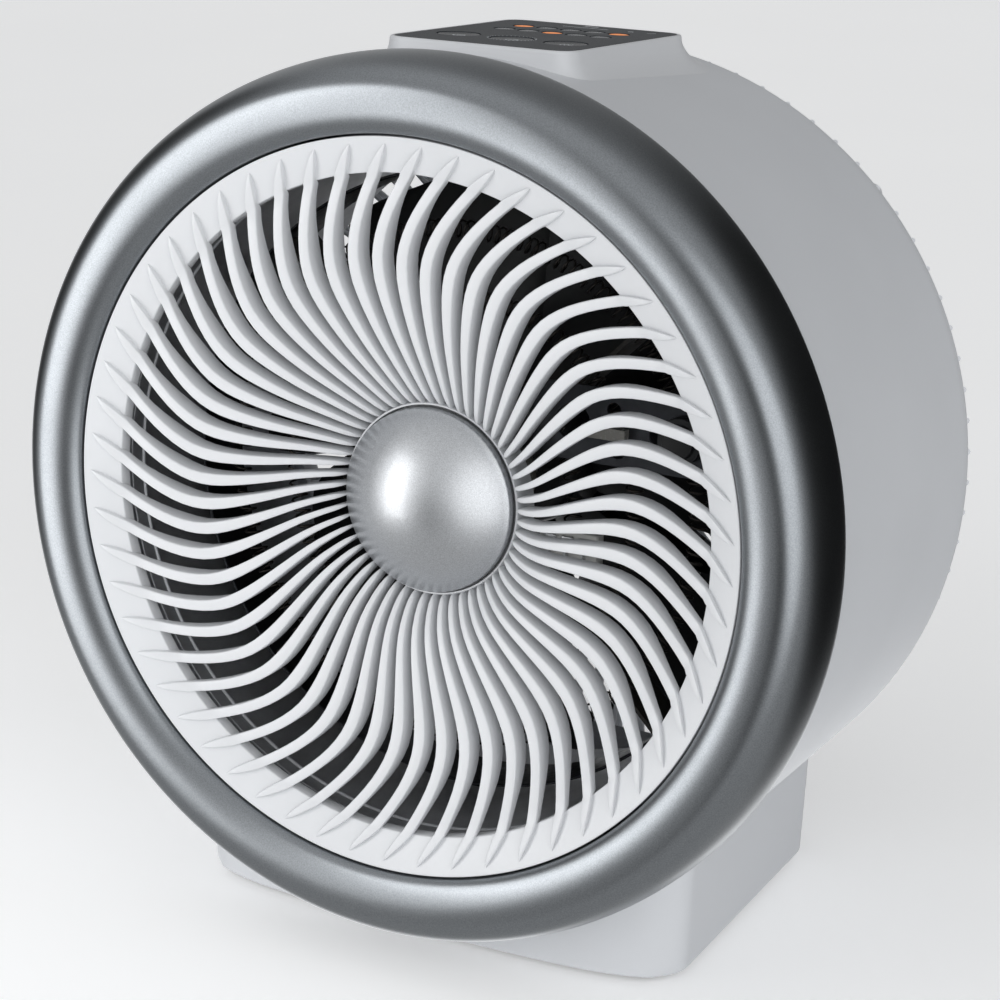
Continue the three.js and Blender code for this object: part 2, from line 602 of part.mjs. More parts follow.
// ---- assembly --------------------------------------------------------------------------------------------
place(drum, "front_bezel_ring", bezelRing(), "satin_silver");
place(drum, "outlet_grille", outletGrille(), "white_plastic");
place(drum, "hub_cap", hubCap(), "cap_silver");
place(drum, "hub_cap_push_nut", tube(CAP_STEM.radius + GAP, 7, -38.2, -36.4, 16), "steel");
place(drum, "drum_shell", drumShell(), "grey_white_plastic");
place(drum, "rear_grille", rearGrille(), "grey_white_plastic");

place(drum, "control_pod", controlPod(), "white_plastic");
place(drum, "control_panel", controlPanel(), "panel_plastic");
place(drum, "indicator_lens", indicatorLens(), "lens");
place(
  drum, "remote_sensor_window",
  block(
    IR_WINDOW.x - IR_WINDOW.halfWidth, IR_WINDOW.x + IR_WINDOW.halfWidth, PANEL.topY - PANEL.thick,
    PANEL.topY - 0.1, IR_WINDOW.z0, IR_WINDOW.z1,
  ),
  "lens",
);
BUTTON_NAMES.forEach((name, i) => {
  place(drum, name, pushButton(BUTTON_X[i]), "panel_plastic");
  place(drum, name.replace("button", "switch"), tactSwitch(BUTTON_X[i]), "black_plastic");
});
place(
  drum, "control_board",
  block(
    -BOARD.halfWidth, BOARD.halfWidth, BOARD.topY - BOARD.thick, BOARD.topY, BOARD.rearZ, BOARD.frontZ,
  ),
  "board",
);

place(drum, "air_duct", airDuct(), "galvanised");
place(drum, "element_frame", elementFrame(), "galvanised");
place(drum, "element_core", tube(6, 17, HEAT.boardZ - 20, HEAT.boardZ + 1, 24), "ceramic");
for (let i = 0; i < HEAT.boards; i++) place(drum, `mica_board_${i + 1}`, micaBoard(i), "mica");
["inner", "middle", "outer"].forEach((name, i) => {
  place(drum, `heating_coil_${name}`, heatingCoil(COIL_RADII[i]), "wire");
});
place(drum, "limit_plate", limitPlate(), "galvanised");
place(drum, "limit_thermostat", rod(8, -41.7, -35.5, 20).translate([86, 31, 0]), "black_plastic");
place(drum, "thermal_fuse", block(50, 66, 27.5, 31.5, -41.7, -38.2), "ceramic");
place(drum, "terminal_block", block(36, 58, -20, -6, -43.8, -36), "ceramic");

place(drum, "fan_shaft", rod(SHAFT.radius, SHAFT.rearZ, SHAFT.frontZ), "steel");
place(drum, "fan_impeller", fanImpeller(), "dark_fan");
place(drum, "fan_nut", tube(SHAFT.radius + 0.8, 7, FAN.frontZ - 2.7, -87.5, 6), "steel");
place(drum, "motor_bracket", motorBracket(), "galvanised");
place(drum, "motor_case_front", motorCup(MOTOR.frontZ, -1), "galvanised");
place(drum, "motor_case_rear", motorCup(MOTOR.rearZ, 1), "galvanised");
place(drum, "motor_stator", tube(MOTOR.rotor + 1, MOTOR.stator, -150, -133.5, 36), "steel");
place(drum, "motor_rotor", tube(SHAFT.radius + GAP, MOTOR.rotor, -150, -133.5, 30), "steel");
place(drum, "motor_bearing_front", bearing(MOTOR.frontZ, -1), "steel");
place(drum, "motor_bearing_rear", bearing(MOTOR.rearZ, 1), "steel");

REAR_SCREW_SPOTS.forEach((spot, i) => place(drum, `rear_grille_screw_${i + 1}`, rearScrew(spot), "steel"));

place(pedestal, "pedestal_shell", pedestalShell(), "grey_white_plastic");
place(pedestal, "bottom_plate", bottomPlate(), "black_plastic");
FEET.forEach(([x, y], i) => place(pedestal, `rubber_foot_${i + 1}`, rubberFoot(x, y), "rubber"));
SCREW_POSTS.forEach(([x, y], i) => place(pedestal, `plate_screw_${i + 1}`, plateScrew(x, y), "steel"));
place(pedestal, "cord_inlet_bush", cordInlet(), "black_plastic");
place(pedestal, "tip_over_switch", block(-88, -72, 76, 98, 5, 18), "black_plastic");
place(pedestal, "power_board", block(66, 88, 62, 108, 6, 7.6), "board");

// The origin is on the floor under the middle of the heater.
heater.updateMatrixWorld(true);
const bounds = new THREE.Box3().setFromObject(heater, true);
heater.position.set(0, -(bounds.min.y + bounds.max.y) / 2, -bounds.min.z);

export default heater;
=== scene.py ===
import json
import math

import bmesh
import bpy
from mathutils import Matrix, Vector


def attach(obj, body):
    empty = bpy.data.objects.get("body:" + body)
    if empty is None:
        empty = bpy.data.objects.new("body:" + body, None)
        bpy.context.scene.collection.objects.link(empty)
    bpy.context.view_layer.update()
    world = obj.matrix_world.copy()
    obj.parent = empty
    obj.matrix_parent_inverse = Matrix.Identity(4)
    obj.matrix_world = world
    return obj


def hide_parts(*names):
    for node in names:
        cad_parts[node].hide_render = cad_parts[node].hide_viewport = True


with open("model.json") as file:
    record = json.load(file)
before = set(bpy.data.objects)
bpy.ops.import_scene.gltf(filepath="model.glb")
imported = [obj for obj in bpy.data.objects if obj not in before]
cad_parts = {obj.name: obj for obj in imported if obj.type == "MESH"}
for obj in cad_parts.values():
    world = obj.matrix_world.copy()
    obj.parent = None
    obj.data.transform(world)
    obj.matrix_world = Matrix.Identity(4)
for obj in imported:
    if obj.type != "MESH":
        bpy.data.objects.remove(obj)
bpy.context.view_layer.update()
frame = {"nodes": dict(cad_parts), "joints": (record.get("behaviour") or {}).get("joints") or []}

scene = bpy.context.scene
NODES = frame["nodes"]

# ---- frames ---------------------------------------------------------------------------------------
# Drum pieces are drawn in millimetres in the drum's own frame: z out of the outlet, y up, origin at
# the centre of the bezel's seam. Pedestal pieces are drawn in millimetres from the same seam in y.
FAN_DEPTH = 104  # from the seam back to the middle of the fan, where its joint is
spin = next(j for j in frame["joints"] if j["name"] == "fan_spin")
OUT = Vector(spin["axis"]).normalized()
SEAM = Vector(spin["pos_m"]) + OUT * FAN_DEPTH / 1000
UP = OUT.cross(Vector((1, 0, 0)))
DRUM = Matrix((
    (1, UP.x, OUT.x, SEAM.x), (0, UP.y, OUT.y, SEAM.y), (0, UP.z, OUT.z, SEAM.z), (0, 0, 0, 1),
)) @ Matrix.Scale(0.001, 4)
FLOOR = Matrix.Translation((0, SEAM.y, 0)) @ Matrix.Scale(0.001, 4)
SIN, COS = UP.y, UP.z
AXIS_HEIGHT = SEAM.z * 1000

TAU = 2 * math.pi


# ---- materials -----------------------------------------------------------------------------------
def new_material(name):
    mat = bpy.data.materials.new(name)
    mat.use_nodes = True
    tree = mat.node_tree
    shader = tree.nodes["Principled BSDF"]
    return mat, tree, shader


def noise(tree, scale, detail=3.0, rough=0.55, stretch=None):
    coord = tree.nodes.new("ShaderNodeTexCoord")
    tex = tree.nodes.new("ShaderNodeTexNoise")
    tex.inputs["Scale"].default_value = scale
    tex.inputs["Detail"].default_value = detail
    tex.inputs["Roughness"].default_value = rough
    if stretch:
        mapping = tree.nodes.new("ShaderNodeMapping")
        mapping.inputs["Scale"].default_value = stretch
        tree.links.new(coord.outputs["Object"], mapping.inputs["Vector"])
        tree.links.new(mapping.outputs["Vector"], tex.inputs["Vector"])
    else:
        tree.links.new(coord.outputs["Object"], tex.inputs["Vector"])
    return tex.outputs["Fac"]


def ramp(tree, source, stops):
    node = tree.nodes.new("ShaderNodeValToRGB")
    elements = node.color_ramp.elements
    while len(elements) < len(stops):
        elements.new(0.5)
    for element, (place, colour) in zip(elements, stops):
        element.position = place
        element.color = (*colour, 1)
    tree.links.new(source, node.inputs["Fac"])
    return node.outputs["Color"]


def ranged(tree, source, low, high):
    node = tree.nodes.new("ShaderNodeMapRange")
    node.inputs["From Min"].default_value = 0.3
    node.inputs["From Max"].default_value = 0.7
    node.inputs["To Min"].default_value = low
    node.inputs["To Max"].default_value = high
    tree.links.new(source, node.inputs["Value"])
    return node.outputs["Result"]


def bump(tree, source, strength, distance, shader):
    node = tree.nodes.new("ShaderNodeBump")
    node.inputs["Strength"].default_value = strength
    node.inputs["Distance"].default_value = distance
    tree.links.new(source, node.inputs["Height"])
    tree.links.new(node.outputs["Normal"], shader.inputs["Normal"])


def shade(colour, k):
    return tuple(min(1.0, max(0.0, c * k)) for c in colour)


def moulded(name, colour, rough=0.45, grain=2600, depth=0.00002, mottle=0.02, spec=0.5):
    """Moulded plastic: fine spark-eroded grain, with a faint slow change of tone and gloss."""
    mat, tree, shader = new_material(name)
    slow = noise(tree, 14, 2)
    colours = ramp(tree, slow, [(0.3, shade(colour, 1 - mottle)), (0.7, shade(colour, 1 + mottle))])
    tree.links.new(colours, shader.inputs["Base Color"])
    fine = noise(tree, grain, 2)
    tree.links.new(ranged(tree, fine, rough - 0.04, rough + 0.05), shader.inputs["Roughness"])
    bump(tree, fine, 0.35, depth, shader)
    shader.inputs["Specular IOR Level"].default_value = spec
    return mat


def satin_metal(name, colour, rough, grain=2300, flake=0.08, depth=0.00003, coat=0.0):
    """Metallic lacquer: small flakes change the tone and tip the surface a little; coat adds clear gloss."""
    mat, tree, shader = new_material(name)
    fine = noise(tree, grain, 4, 0.7)
    slow = noise(tree, 30, 2)
    colours = ramp(tree, fine, [(0.32, shade(colour, 1 - flake)), (0.68, shade(colour, 1 + flake))])
    tree.links.new(colours, shader.inputs["Base Color"])
    tree.links.new(ranged(tree, slow, rough - 0.015, rough + 0.015), shader.inputs["Roughness"])
    bump(tree, fine, 0.5, depth, shader)
    shader.inputs["Metallic"].default_value = 1.0
    shader.inputs["Coat Weight"].default_value = coat
    shader.inputs["Coat Roughness"].default_value = 0.1
    return mat


def sheet_metal(name, colour, rough=0.4, stretch=(1, 1, 1), spread=0.16):
    """Bare sheet or turned steel: drawn streaks, cloudy tone and a changing gloss."""
    mat, tree, shader = new_material(name)
    streak = noise(tree, 420, 4, 0.6, stretch)
    cloud = noise(tree, 55, 3)
    colours = ramp(tree, cloud, [(0.3, shade(colour, 1 - spread)), (0.7, shade(colour, 1 + spread))])
    tree.links.new(colours, shader.inputs["Base Color"])
    tree.links.new(ranged(tree, streak, rough - 0.08, rough + 0.1), shader.inputs["Roughness"])
    bump(tree, streak, 0.25, 0.00005, shader)
    shader.inputs["Metallic"].default_value = 1.0
    return mat


def layered(name, dark, light, rough=0.6):
    """Mica board: thin flakes pressed together, pale on dark."""
    mat, tree, shader = new_material(name)
    flake = noise(tree, 240, 6, 0.75, (1, 1, 3))
    tree.links.new(ramp(tree, flake, [(0.35, dark), (0.65, light)]), shader.inputs["Base Color"])
    tree.links.new(ranged(tree, flake, rough - 0.15, rough + 0.1), shader.inputs["Roughness"])
    bump(tree, flake, 0.3, 0.0001, shader)
    return mat


def glowing(name, colour, strength):
    mat, tree, shader = new_material(name)
    fine = noise(tree, 900, 2)
    tree.links.new(ramp(tree, fine, [(0.3, shade(colour, 0.92)), (0.7, colour)]), shader.inputs["Base Color"])
    tree.links.new(ranged(tree, fine, 0.3, 0.4), shader.inputs["Roughness"])
    shader.inputs["Emission Color"].default_value = (*colour, 1)
    shader.inputs["Emission Strength"].default_value = strength
    return mat


M = {
    "bezel": satin_metal("bezel_satin", (0.276, 0.292, 0.308), 0.32, flake=0.18),
    "cap": satin_metal("cap_satin", (0.555, 0.57, 0.59), 0.44, 2700, 0.22, 0.00004, coat=0.6),
    "grille": moulded("grille_white", (0.675, 0.687, 0.705), 0.36, depth=0.000012),
    "housing": moulded("housing_white", (0.66, 0.675, 0.70), 0.44),
    "pod": moulded("pod_white", (0.68, 0.692, 0.712), 0.38),
    "panel": moulded("panel_slate", (0.030, 0.035, 0.041), 0.46, depth=0.00001, spec=0.22),
    "button": moulded("button_slate", (0.026, 0.030, 0.035), 0.30, depth=0.000008, spec=0.45),
    "mark": moulded("mark_print", (0.72, 0.75, 0.78), 0.5, mottle=0.04),
    "lens_off": moulded("lens_smoked", (0.085, 0.092, 0.10), 0.28, depth=0.000008),
    "lens_on": glowing("lens_amber", (0.80, 0.22, 0.025), 0.5),
    "sensor": moulded("sensor_window", (0.30, 0.31, 0.33), 0.2, depth=0.000005),
    "black": moulded("moulding_black", (0.018, 0.019, 0.02), 0.45, grain=1800),
    "fan": moulded("fan_black", (0.011, 0.012, 0.013), 0.40, grain=1500, mottle=0.1),
    "rubber": moulded("foot_rubber", (0.014, 0.014, 0.014), 0.8, grain=1500, depth=0.00006, spec=0.25),
    "steel": sheet_metal("zinc_steel", (0.55, 0.56, 0.57), 0.3),
    # Painted shade: the steel parts deep inside the drum are coloured near black to stand for the shade
    # there, not for their own finish.
    "galvanised": sheet_metal("galvanised", (0.07, 0.073, 0.08), 0.45),
    "duct": sheet_metal("duct_steel", (0.60, 0.61, 0.63), 0.58, (1, 1, 4), 0.1),
    "laminations": sheet_metal("laminations", (0.14, 0.145, 0.15), 0.45, (1, 14, 1)),
    # Painted shade: the mica boards are coloured near black to stand for the shade inside the drum.
    "mica": layered("mica_board", (0.022, 0.02, 0.017), (0.060, 0.055, 0.046)),
    "ceramic": moulded("glazed_ceramic", (0.30, 0.29, 0.265), 0.25, grain=700, depth=0.00004, mottle=0.05),
    "terminal": moulded("terminal_white", (0.62, 0.615, 0.59), 0.35, grain=1200, mottle=0.04),
    # Painted shade: the coil wire is coloured near black to stand for the shade inside the drum.
    "wire": sheet_metal("resistance_wire", (0.07, 0.064, 0.058), 0.45, spread=0.3),
    "board": moulded("circuit_board", (0.012, 0.07, 0.035), 0.35, grain=900, mottle=0.15),
}


# ---- making meshes --------------------------------------------------------------------------------
class Shape:
    """Vertices, faces and a material number for each face, gathered from several parts."""

    def __init__(self):
        self.verts = []
        self.faces = []
        self.slots = []

    def add(self, part, slot=0, move=None):
        verts, faces = part
        first = len(self.verts)
        self.verts += [move(v) for v in verts] if move else verts
        self.faces += [tuple(first + i for i in face) for face in faces]
        self.slots += [slot] * len(faces)
        return self


def build(name, shape, materials, nodes, body="housing", matrix=DRUM, angle=38):
    """One piece of the visual model: it hides the CAD nodes it replaces and rides on its body."""
    if isinstance(shape, tuple):
        shape = Shape().add(shape)
    mesh = bpy.data.meshes.new(name)
    mesh.from_pydata([matrix @ Vector(v) for v in shape.verts], [], shape.faces)
    for key in materials:
        mesh.materials.append(M[key])
    mesh.polygons.foreach_set("material_index", shape.slots)
    mesh.polygons.foreach_set("use_smooth", [True] * len(shape.faces))
    work = bmesh.new()
    work.from_mesh(mesh)
    bmesh.ops.recalc_face_normals(work, faces=work.faces)
    work.to_mesh(mesh)
    work.free()
    obj = bpy.data.objects.new(name, mesh)
    scene.collection.objects.link(obj)
    mesh.set_sharp_from_angle(angle=math.radians(angle))
    if nodes:
        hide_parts(*nodes)
    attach(obj, body)


def rounded(points, radius, steps=4, closed=True):
    """The outline with each corner turned into a short curve; a point may carry its own radius."""
    done = []
    count = len(points)
    for i, point in enumerate(points):
        here = Vector(point[:2])
        if not closed and i in (0, count - 1):
            done.append(tuple(here))
            continue
        before = Vector(points[i - 1][:2]) - here
        after = Vector(points[(i + 1) % count][:2]) - here
        wanted = point[2] if len(point) > 2 else radius
        reach = min(wanted, before.length * 0.48, after.length * 0.48)
        if reach < 1e-3:
            done.append(tuple(here))
            continue
        start = here + before.normalized() * reach
        end = here + after.normalized() * reach
        for k in range(steps + 1):
            t = k / steps
            done.append(tuple(start * (1 - t) ** 2 + here * 2 * t * (1 - t) + end * t ** 2))
    return done


def hermite(knots, x):
    """Smooth curve y(x) through the knots."""
    slopes = []
    last = len(knots) - 1
    for i in range(len(knots)):
        a, b = knots[max(i - 1, 0)], knots[min(i + 1, last)]
        slopes.append((b[1] - a[1]) / (b[0] - a[0]))
    i = 0
    while i < last - 1 and x > knots[i + 1][0]:
        i += 1
    (x0, y0), (x1, y1) = knots[i], knots[i + 1]
    h = x1 - x0
    t = (x - x0) / h
    return ((2 * t ** 3 - 3 * t ** 2 + 1) * y0 + (t ** 3 - 2 * t ** 2 + t) * h * slopes[i]
            + (3 * t ** 2 - 2 * t ** 3) * y1 + (t ** 3 - t ** 2) * h * slopes[i + 1])


def smooth_step(x, low, high):
    t = min(1.0, max(0.0, (x - low) / (high - low)))
    return t * t * (3 - 2 * t)


def lathe(profile, segments=192, closed=True, skip=None):
    """A turned surface about z. skip(x, y, z) leaves out the faces whose middle it accepts."""
    verts, faces, rings = [], [], []
    for r, z in profile:
        first = len(verts)
        if r < 1e-6:
            verts.append((0.0, 0.0, z))
            rings.append([first])
        else:
            verts += [(r * math.cos(TAU * i / segments), r * math.sin(TAU * i / segments), z)
                      for i in range(segments)]
            rings.append(list(range(first, first + segments)))
    pairs = list(zip(rings, rings[1:]))
    if closed:
        pairs.append((rings[-1], rings[0]))
    for a, b in pairs:
        if len(a) == 1 and len(b) == 1:
            continue
        for i in range(segments):
            j = (i + 1) % segments
            if len(a) == 1:
                face = (a[0], b[i], b[j])
            elif len(b) == 1:
                face = (a[i], b[0], a[j])
            else:
                face = (a[i], b[i], b[j], a[j])
            if skip:
                middle = [sum(verts[k][axis] for k in face) / len(face) for axis in range(3)]
                if skip(*middle):
                    continue
            faces.append(face)
    return verts, faces


def skin(loops, closed_loops=True, caps=False):
    """Quads between loops of equally many points."""
    count = len(loops[0])
    verts = [tuple(v) for loop in loops for v in loop]
    faces = []
    for row in range(len(loops) - 1):
        for i in range(count if closed_loops else count - 1):
            j = (i + 1) % count
            a, b = row * count, (row + 1) * count
            faces.append((a + i, a + j, b + j, b + i))
    if caps:
        faces.append(tuple(reversed(range(count))))
        faces.append(tuple(range((len(loops) - 1) * count, len(loops) * count)))
    return verts, faces


def rod_along(path, radius, sides=8, tall=1.0, up=Vector((0, 0, 1))):
    """A round or oval bar along a path of points; tall stretches it along up."""
    loops = []
    for i, point in enumerate(path):
        here = Vector(point)
        tangent = (Vector(path[min(i + 1, len(path) - 1)]) - Vector(path[max(i - 1, 0)])).normalized()
        side = tangent.cross(up).normalized()
        rise = side.cross(tangent).normalized()
        r = radius[i] if isinstance(radius, list) else radius
        loops.append([
            here + side * (r * math.cos(TAU * k / sides)) + rise * (r * tall * math.sin(TAU * k / sides))
            for k in range(sides)
        ])
    return skin(loops, caps=True)


def slab(x0, x1, y0, y1, z0, z1, edge=0.4):
    """A block with its edges rounded off in all three directions."""
    loops = []
    steps = 3
    for k in range(steps + 1):
        a = k / steps * math.pi / 2
        loops.append((edge * (1 - math.sin(a)), z0 + edge * (1 - math.cos(a))))
    for k in range(steps + 1):
        a = math.pi / 2 - k / steps * math.pi / 2
        loops.append((edge * (1 - math.sin(a)), z1 - edge * (1 - math.cos(a))))
    rings = []
    for inset, z in loops:
        corners = [(x0 + inset, y0 + inset), (x1 - inset, y0 + inset), (x1 - inset, y1 - inset),
                   (x0 + inset, y1 - inset)]
        rings.append([(x, y, z) for x, y in rounded(corners, edge * 1.4, 3)])
    return skin(rings, caps=True)


def turned_part(part, angle_degrees):
    """The part turned about z."""
    verts, faces = part
    c, s = math.cos(math.radians(angle_degrees)), math.sin(math.radians(angle_degrees))
    return [(x * c - y * s, x * s + y * c, z) for x, y, z in verts], faces


def plate(outline, holes, low, high, edge, resolution=2):
    """A flat plate in x and z with holes through it and a small round edge, lying between two heights."""
    curve = bpy.data.curves.new("plate", "CURVE")
    curve.dimensions = "2D"
    curve.fill_mode = "BOTH"
    for loop in [outline] + holes:
        spline = curve.splines.new("POLY")
        spline.points.add(len(loop) - 1)
        for point, (x, z) in zip(spline.points, loop):
            point.co = (x, z, 0, 1)
        spline.use_cyclic_u = True
    curve.extrude = (high - low) / 2 - edge
    curve.bevel_depth = edge
    curve.bevel_resolution = resolution
    curve.offset = -edge
    holder = bpy.data.objects.new("plate", curve)
    scene.collection.objects.link(holder)
    bpy.context.view_layer.update()
    mesh = bpy.data.meshes.new_from_object(holder.evaluated_get(bpy.context.evaluated_depsgraph_get()))
    middle = (high + low) / 2
    verts = [(v.co.x, middle + v.co.z, v.co.y) for v in mesh.vertices]
    faces = [tuple(p.vertices) for p in mesh.polygons]
    bpy.data.objects.remove(holder)
    bpy.data.curves.remove(curve)
    bpy.data.meshes.remove(mesh)
    return verts, faces


def circle(x, z, radius, count=40):
    turns = [TAU * i / count for i in range(count)]
    return [(x + radius * math.cos(a), z + radius * math.sin(a)) for a in turns]


def on_panel(part, x, z):
    """A turned part stood square to the control panel: its z becomes the panel's height."""
    verts, faces = part
    return [(x + vx, vz, z - vy) for vx, vy, vz in verts], faces


# ---- camera ------------------------------------------------------------------------------------------
target = Vector((0.0413, SEAM.y, 0.17596))
azimuth, elevation, distance = math.radians(28.33), math.radians(19.367), 0.87647
away = Vector((
    math.sin(azimuth) * math.cos(elevation), -math.cos(azimuth) * math.cos(elevation), math.sin(elevation),
))
camera = bpy.data.objects.new("camera", bpy.data.cameras.new("camera"))
camera.data.lens = 97.67
camera.data.sensor_width = 36
camera.location = target + away * distance
camera.rotation_euler = away.to_track_quat("Z", "Y").to_euler()
scene.collection.objects.link(camera)
scene.camera = camera

# ---- bezel ring ------------------------------------------------------------------------------------
CREST_R, CREST_Z, SEAM_R, SEAM_Z, WIDEST_R, WIDEST_Z = 139, 4.75, 126.3, -0.6, 152, -20.6
SHOULDER = 0.833  # under 1 gives a fuller shoulder than an ellipse


def bezel_profile():
    """Elliptic inner flank from the seam to the crest, full outer shoulder, then the thin wall behind."""
    face = []
    for k in range(20):
        a = (1 - k / 20) * math.pi / 2
        r = CREST_R - (CREST_R - SEAM_R) * math.sin(a)
        face.append((r, SEAM_Z + (CREST_Z - SEAM_Z) * math.cos(a)))
    for k in range(37):
        a = k / 36 * math.pi / 2
        across = math.sin(a) ** SHOULDER
        along = max(0.0, math.cos(a)) ** SHOULDER
        face.append((CREST_R + (WIDEST_R - CREST_R) * across, WIDEST_Z + (CREST_Z - WIDEST_Z) * along))
    back = rounded([
        (WIDEST_R, WIDEST_Z), (151.7, -23.4, 1.0), (150.2, -25.2, 1.4), (147.1, -25.2, 0.5), (146.9, -19, 8),
        (141, 0.2, 9), (129.2, -2.6, 3), (128.9, -6, 0.3), (SEAM_R, -6, 0.3),
    ], 0.5, 4, closed=False)
    return face + back[1:]


ring = lathe(bezel_profile(), 288)
build("bezel_ring_moulding", ring, ["bezel"], ["front_bezel_ring"])

# ---- outlet grille ---------------------------------------------------------------------------------
VANES = 57
HUB_R, RIM_IN, RIM_OUT, TIP = 35.2, 113.2, 125.6, 123.2
VANE_DEPTH, VANE_WIDTH, ROOT_WIDTH, WIDENING = 8.0, 4.2, 1.7, 0.06
SWEEP = [(30, 2.2), (42, 4.6), (58, 8.6), (72, 10.6), (83, 10.6), (93, 8.6), (108, 3.8), (122, -1.0)]


def crest_depth(r):
    """How far the vanes' crests lie behind the seam."""
    return 17 - 0.1 * r + 12 * math.exp((34 - r) / 13.5) - smooth_step(r, 70, 105)


def rim_depth(r):
    """How far the conical rim lies behind the seam."""
    return 0.4 + (RIM_OUT - r) / (RIM_OUT - RIM_IN) * 5.5


def vane_section(r):
    """One cross-section of a vane at radius r: points (across, z), anticlockwise side first."""
    width = min(VANE_WIDTH, ROOT_WIDTH + WIDENING * (r - HUB_R))
    if r < HUB_R + 1.3:
        width *= math.sqrt(max(0.04, (r - 32.9) / 3.6))
    crest = -crest_depth(r)
    if r < HUB_R - 0.8:
        crest -= 1.2 * ((HUB_R - 0.8 - r) / 1.4) ** 2
    if r <= RIM_IN - 1:
        half, taper = width / 2, 0.3
        foot = crest - VANE_DEPTH + 4.2 * smooth_step(r, 90, RIM_IN - 2)
        corner = min(0.62, half * 0.6)
        left, right = half, -half
        left_foot, right_foot = left - taper, right + taper
    else:
        u = min(1.0, max(0.0, (r - RIM_IN + 1) / (TIP - RIM_IN + 1)))
        half = width / 2
        left = half * (1 - u ** 1.5) + 0.12
        right = -half * (1 - u ** 2.6) - 0.12
        height = 1.8 * (1 - u ** 5)
        on_rim = -rim_depth(r) + height
        crest = max(crest, on_rim) if r < RIM_IN + 1.5 else on_rim
        foot = -rim_depth(r) - 0.35
        corner = min(0.55, half * 0.55 * (1 - u) + 0.08)
        left_foot = left + 0.3 * (1 - u)
        right_foot = -half * (1 - u ** 3.2) - 0.2 - 0.5 * u * (1 - u)
    quarter = [k / 4 * math.pi / 2 for k in range(5)]
    points = [(left_foot, foot)]
    for a in quarter:
        points.append((left - corner + corner * math.cos(a), crest - corner + corner * math.sin(a)))
    for a in reversed(quarter):
        points.append((right + corner - corner * math.cos(a), crest - corner + corner * math.sin(a)))
    points.append((right_foot, foot))
    return points


def vane(turn):
    """A vane from its rounded root at the hub to its tip on the rim."""
    radii = [33.0, 33.2, 33.6, 34.2, 35.2, 36.6, 38.2, 40] + [40 + k * 3.8 for k in range(1, 19)]
    radii += [RIM_IN + past for past in (-1, 0.2, 1.5, 3, 4.6, 6.2, 7.7, 8.9, 9.6)] + [TIP]
    loops = []
    for r in radii:
        middle = turn + math.radians(hermite(SWEEP, r))
        loops.append([
            (r * math.cos(middle + across / r), r * math.sin(middle + across / r), z)
            for across, z in vane_section(r)
        ])
    return skin(loops, caps=True)


grille = Shape()
grille.add(lathe(rounded([
    (RIM_IN, -5.9, 0.5), (RIM_OUT, -0.4, 0.5), (RIM_OUT, -16), (123.3, -16), (123.3, -4.4),
    (RIM_IN + 1.6, -8.5), (RIM_IN + 1.6, -11), (RIM_IN, -11),
], 0.3, 3), 288))
grille.add(lathe(rounded([
    (3.2, -34), (32.7, -34), (32.7, -27.0, 0.25), (33.35, -27.0, 0.25), (33.8, -28.6, 0.4), (HUB_R, -36),
    (3.2, -36),
], 0.3, 3), 144))
for i in range(VANES):
    grille.add(vane(i * TAU / VANES))
build("outlet_grille_moulding", grille, ["grille"], ["outlet_grille"], angle=50)

# ---- hub cap ---------------------------------------------------------------------------------------
CROWN_TOP, CROWN_R, CAP_R, CAP_BASE = -9.3, 41.0, 32.0, -27.4
CAP_INSIDE_R = 38.8
STEM_R, STEM_END = 2.7, -39


def crown(r, radius=CROWN_R):
    """Height of the cap's spherical crown at radius r, or of its hollow inside with the smaller radius."""
    return CROWN_TOP - CROWN_R + math.sqrt(radius * radius - r * r)


cap = [(0.0, CROWN_TOP)] + [(r, crown(r)) for r in [0.6 + k * 0.9 for k in range(34)]]
cap += rounded([
    (31.0, crown(31.0)), (CAP_R, crown(31.0) - 0.85, 0.5), (CAP_R, CAP_BASE, 0.3), (29.9, CAP_BASE, 0.3),
    *[(r, crown(r, CAP_INSIDE_R)) for r in (29.8, 22, 12, STEM_R)], (STEM_R, STEM_END, 0.4), (0, STEM_END),
], 0.3, 4, closed=False)
build("hub_cap_dome", lathe(cap, 128, closed=False), ["cap"], ["hub_cap"], angle=60)


# ---- drum shell ------------------------------------------------------------------------------------
DRUM_R, DRUM_FRONT, DRUM_BACK = 149, -25.7, -160
DRUM_TAPER = 3.1


def drum_radius(z):
    return DRUM_R - DRUM_TAPER * (DRUM_FRONT - z) / (DRUM_FRONT - DRUM_BACK)


def under_pod(x, y, z):
    """Whether a face of the drum lies in the window that the control pod covers."""
    return abs(x) < 31 and y > 120 and -133 < z < -52


shell = [(146.6, -17.0)]
shell += rounded([
    (146.6, -25.4), (147.2, DRUM_FRONT, 0.2), (DRUM_R, DRUM_FRONT, 0.5), (drum_radius(-29), -29),
], 0.3, 3, closed=False)
shell += [(drum_radius(z), z) for z in range(-33, -157, -4)]
shell += rounded([
    (drum_radius(-156.8), -156.8), (145.2, DRUM_BACK, 2.4), (137, DRUM_BACK, 0.3), (137, -157, 0.3),
    (142.6, -157, 0.5), (143.2, -122.7), (134, -122.7), (134, -121.3), (143.3, -121.3), (145.9, -30),
    (143.6, -28, 0.3), (143.6, -17, 0.3),
], 0.4, 4, closed=False)
build("drum_shell_moulding", lathe(shell, 256, skip=under_pod), ["housing"], ["drum_shell"])

# ---- rear grille -----------------------------------------------------------------------------------
RIBS = 80
RIB_PATH = [
    (44, -170.9), (60, -171.0), (80, -171.0), (100, -170.6), (118, -169.8), (130, -168.6), (137, -167.2),
    (141.2, -165.3), (143.8, -162.8),
]
INNER_RIB_PATH = [(45, -169.8), (90, -167.6), (137.6, -162.6)]
SCREW_CIRCLE = 141.2
SCREW_ANGLES = [math.radians(degrees) for degrees in (45, 135, 225, 315)]
SCREW_SPOTS = [(SCREW_CIRCLE * math.cos(a), SCREW_CIRCLE * math.sin(a)) for a in SCREW_ANGLES]
BOSS_SHIFT = 0.9925  # the bosses sit a little inside the screws' circle

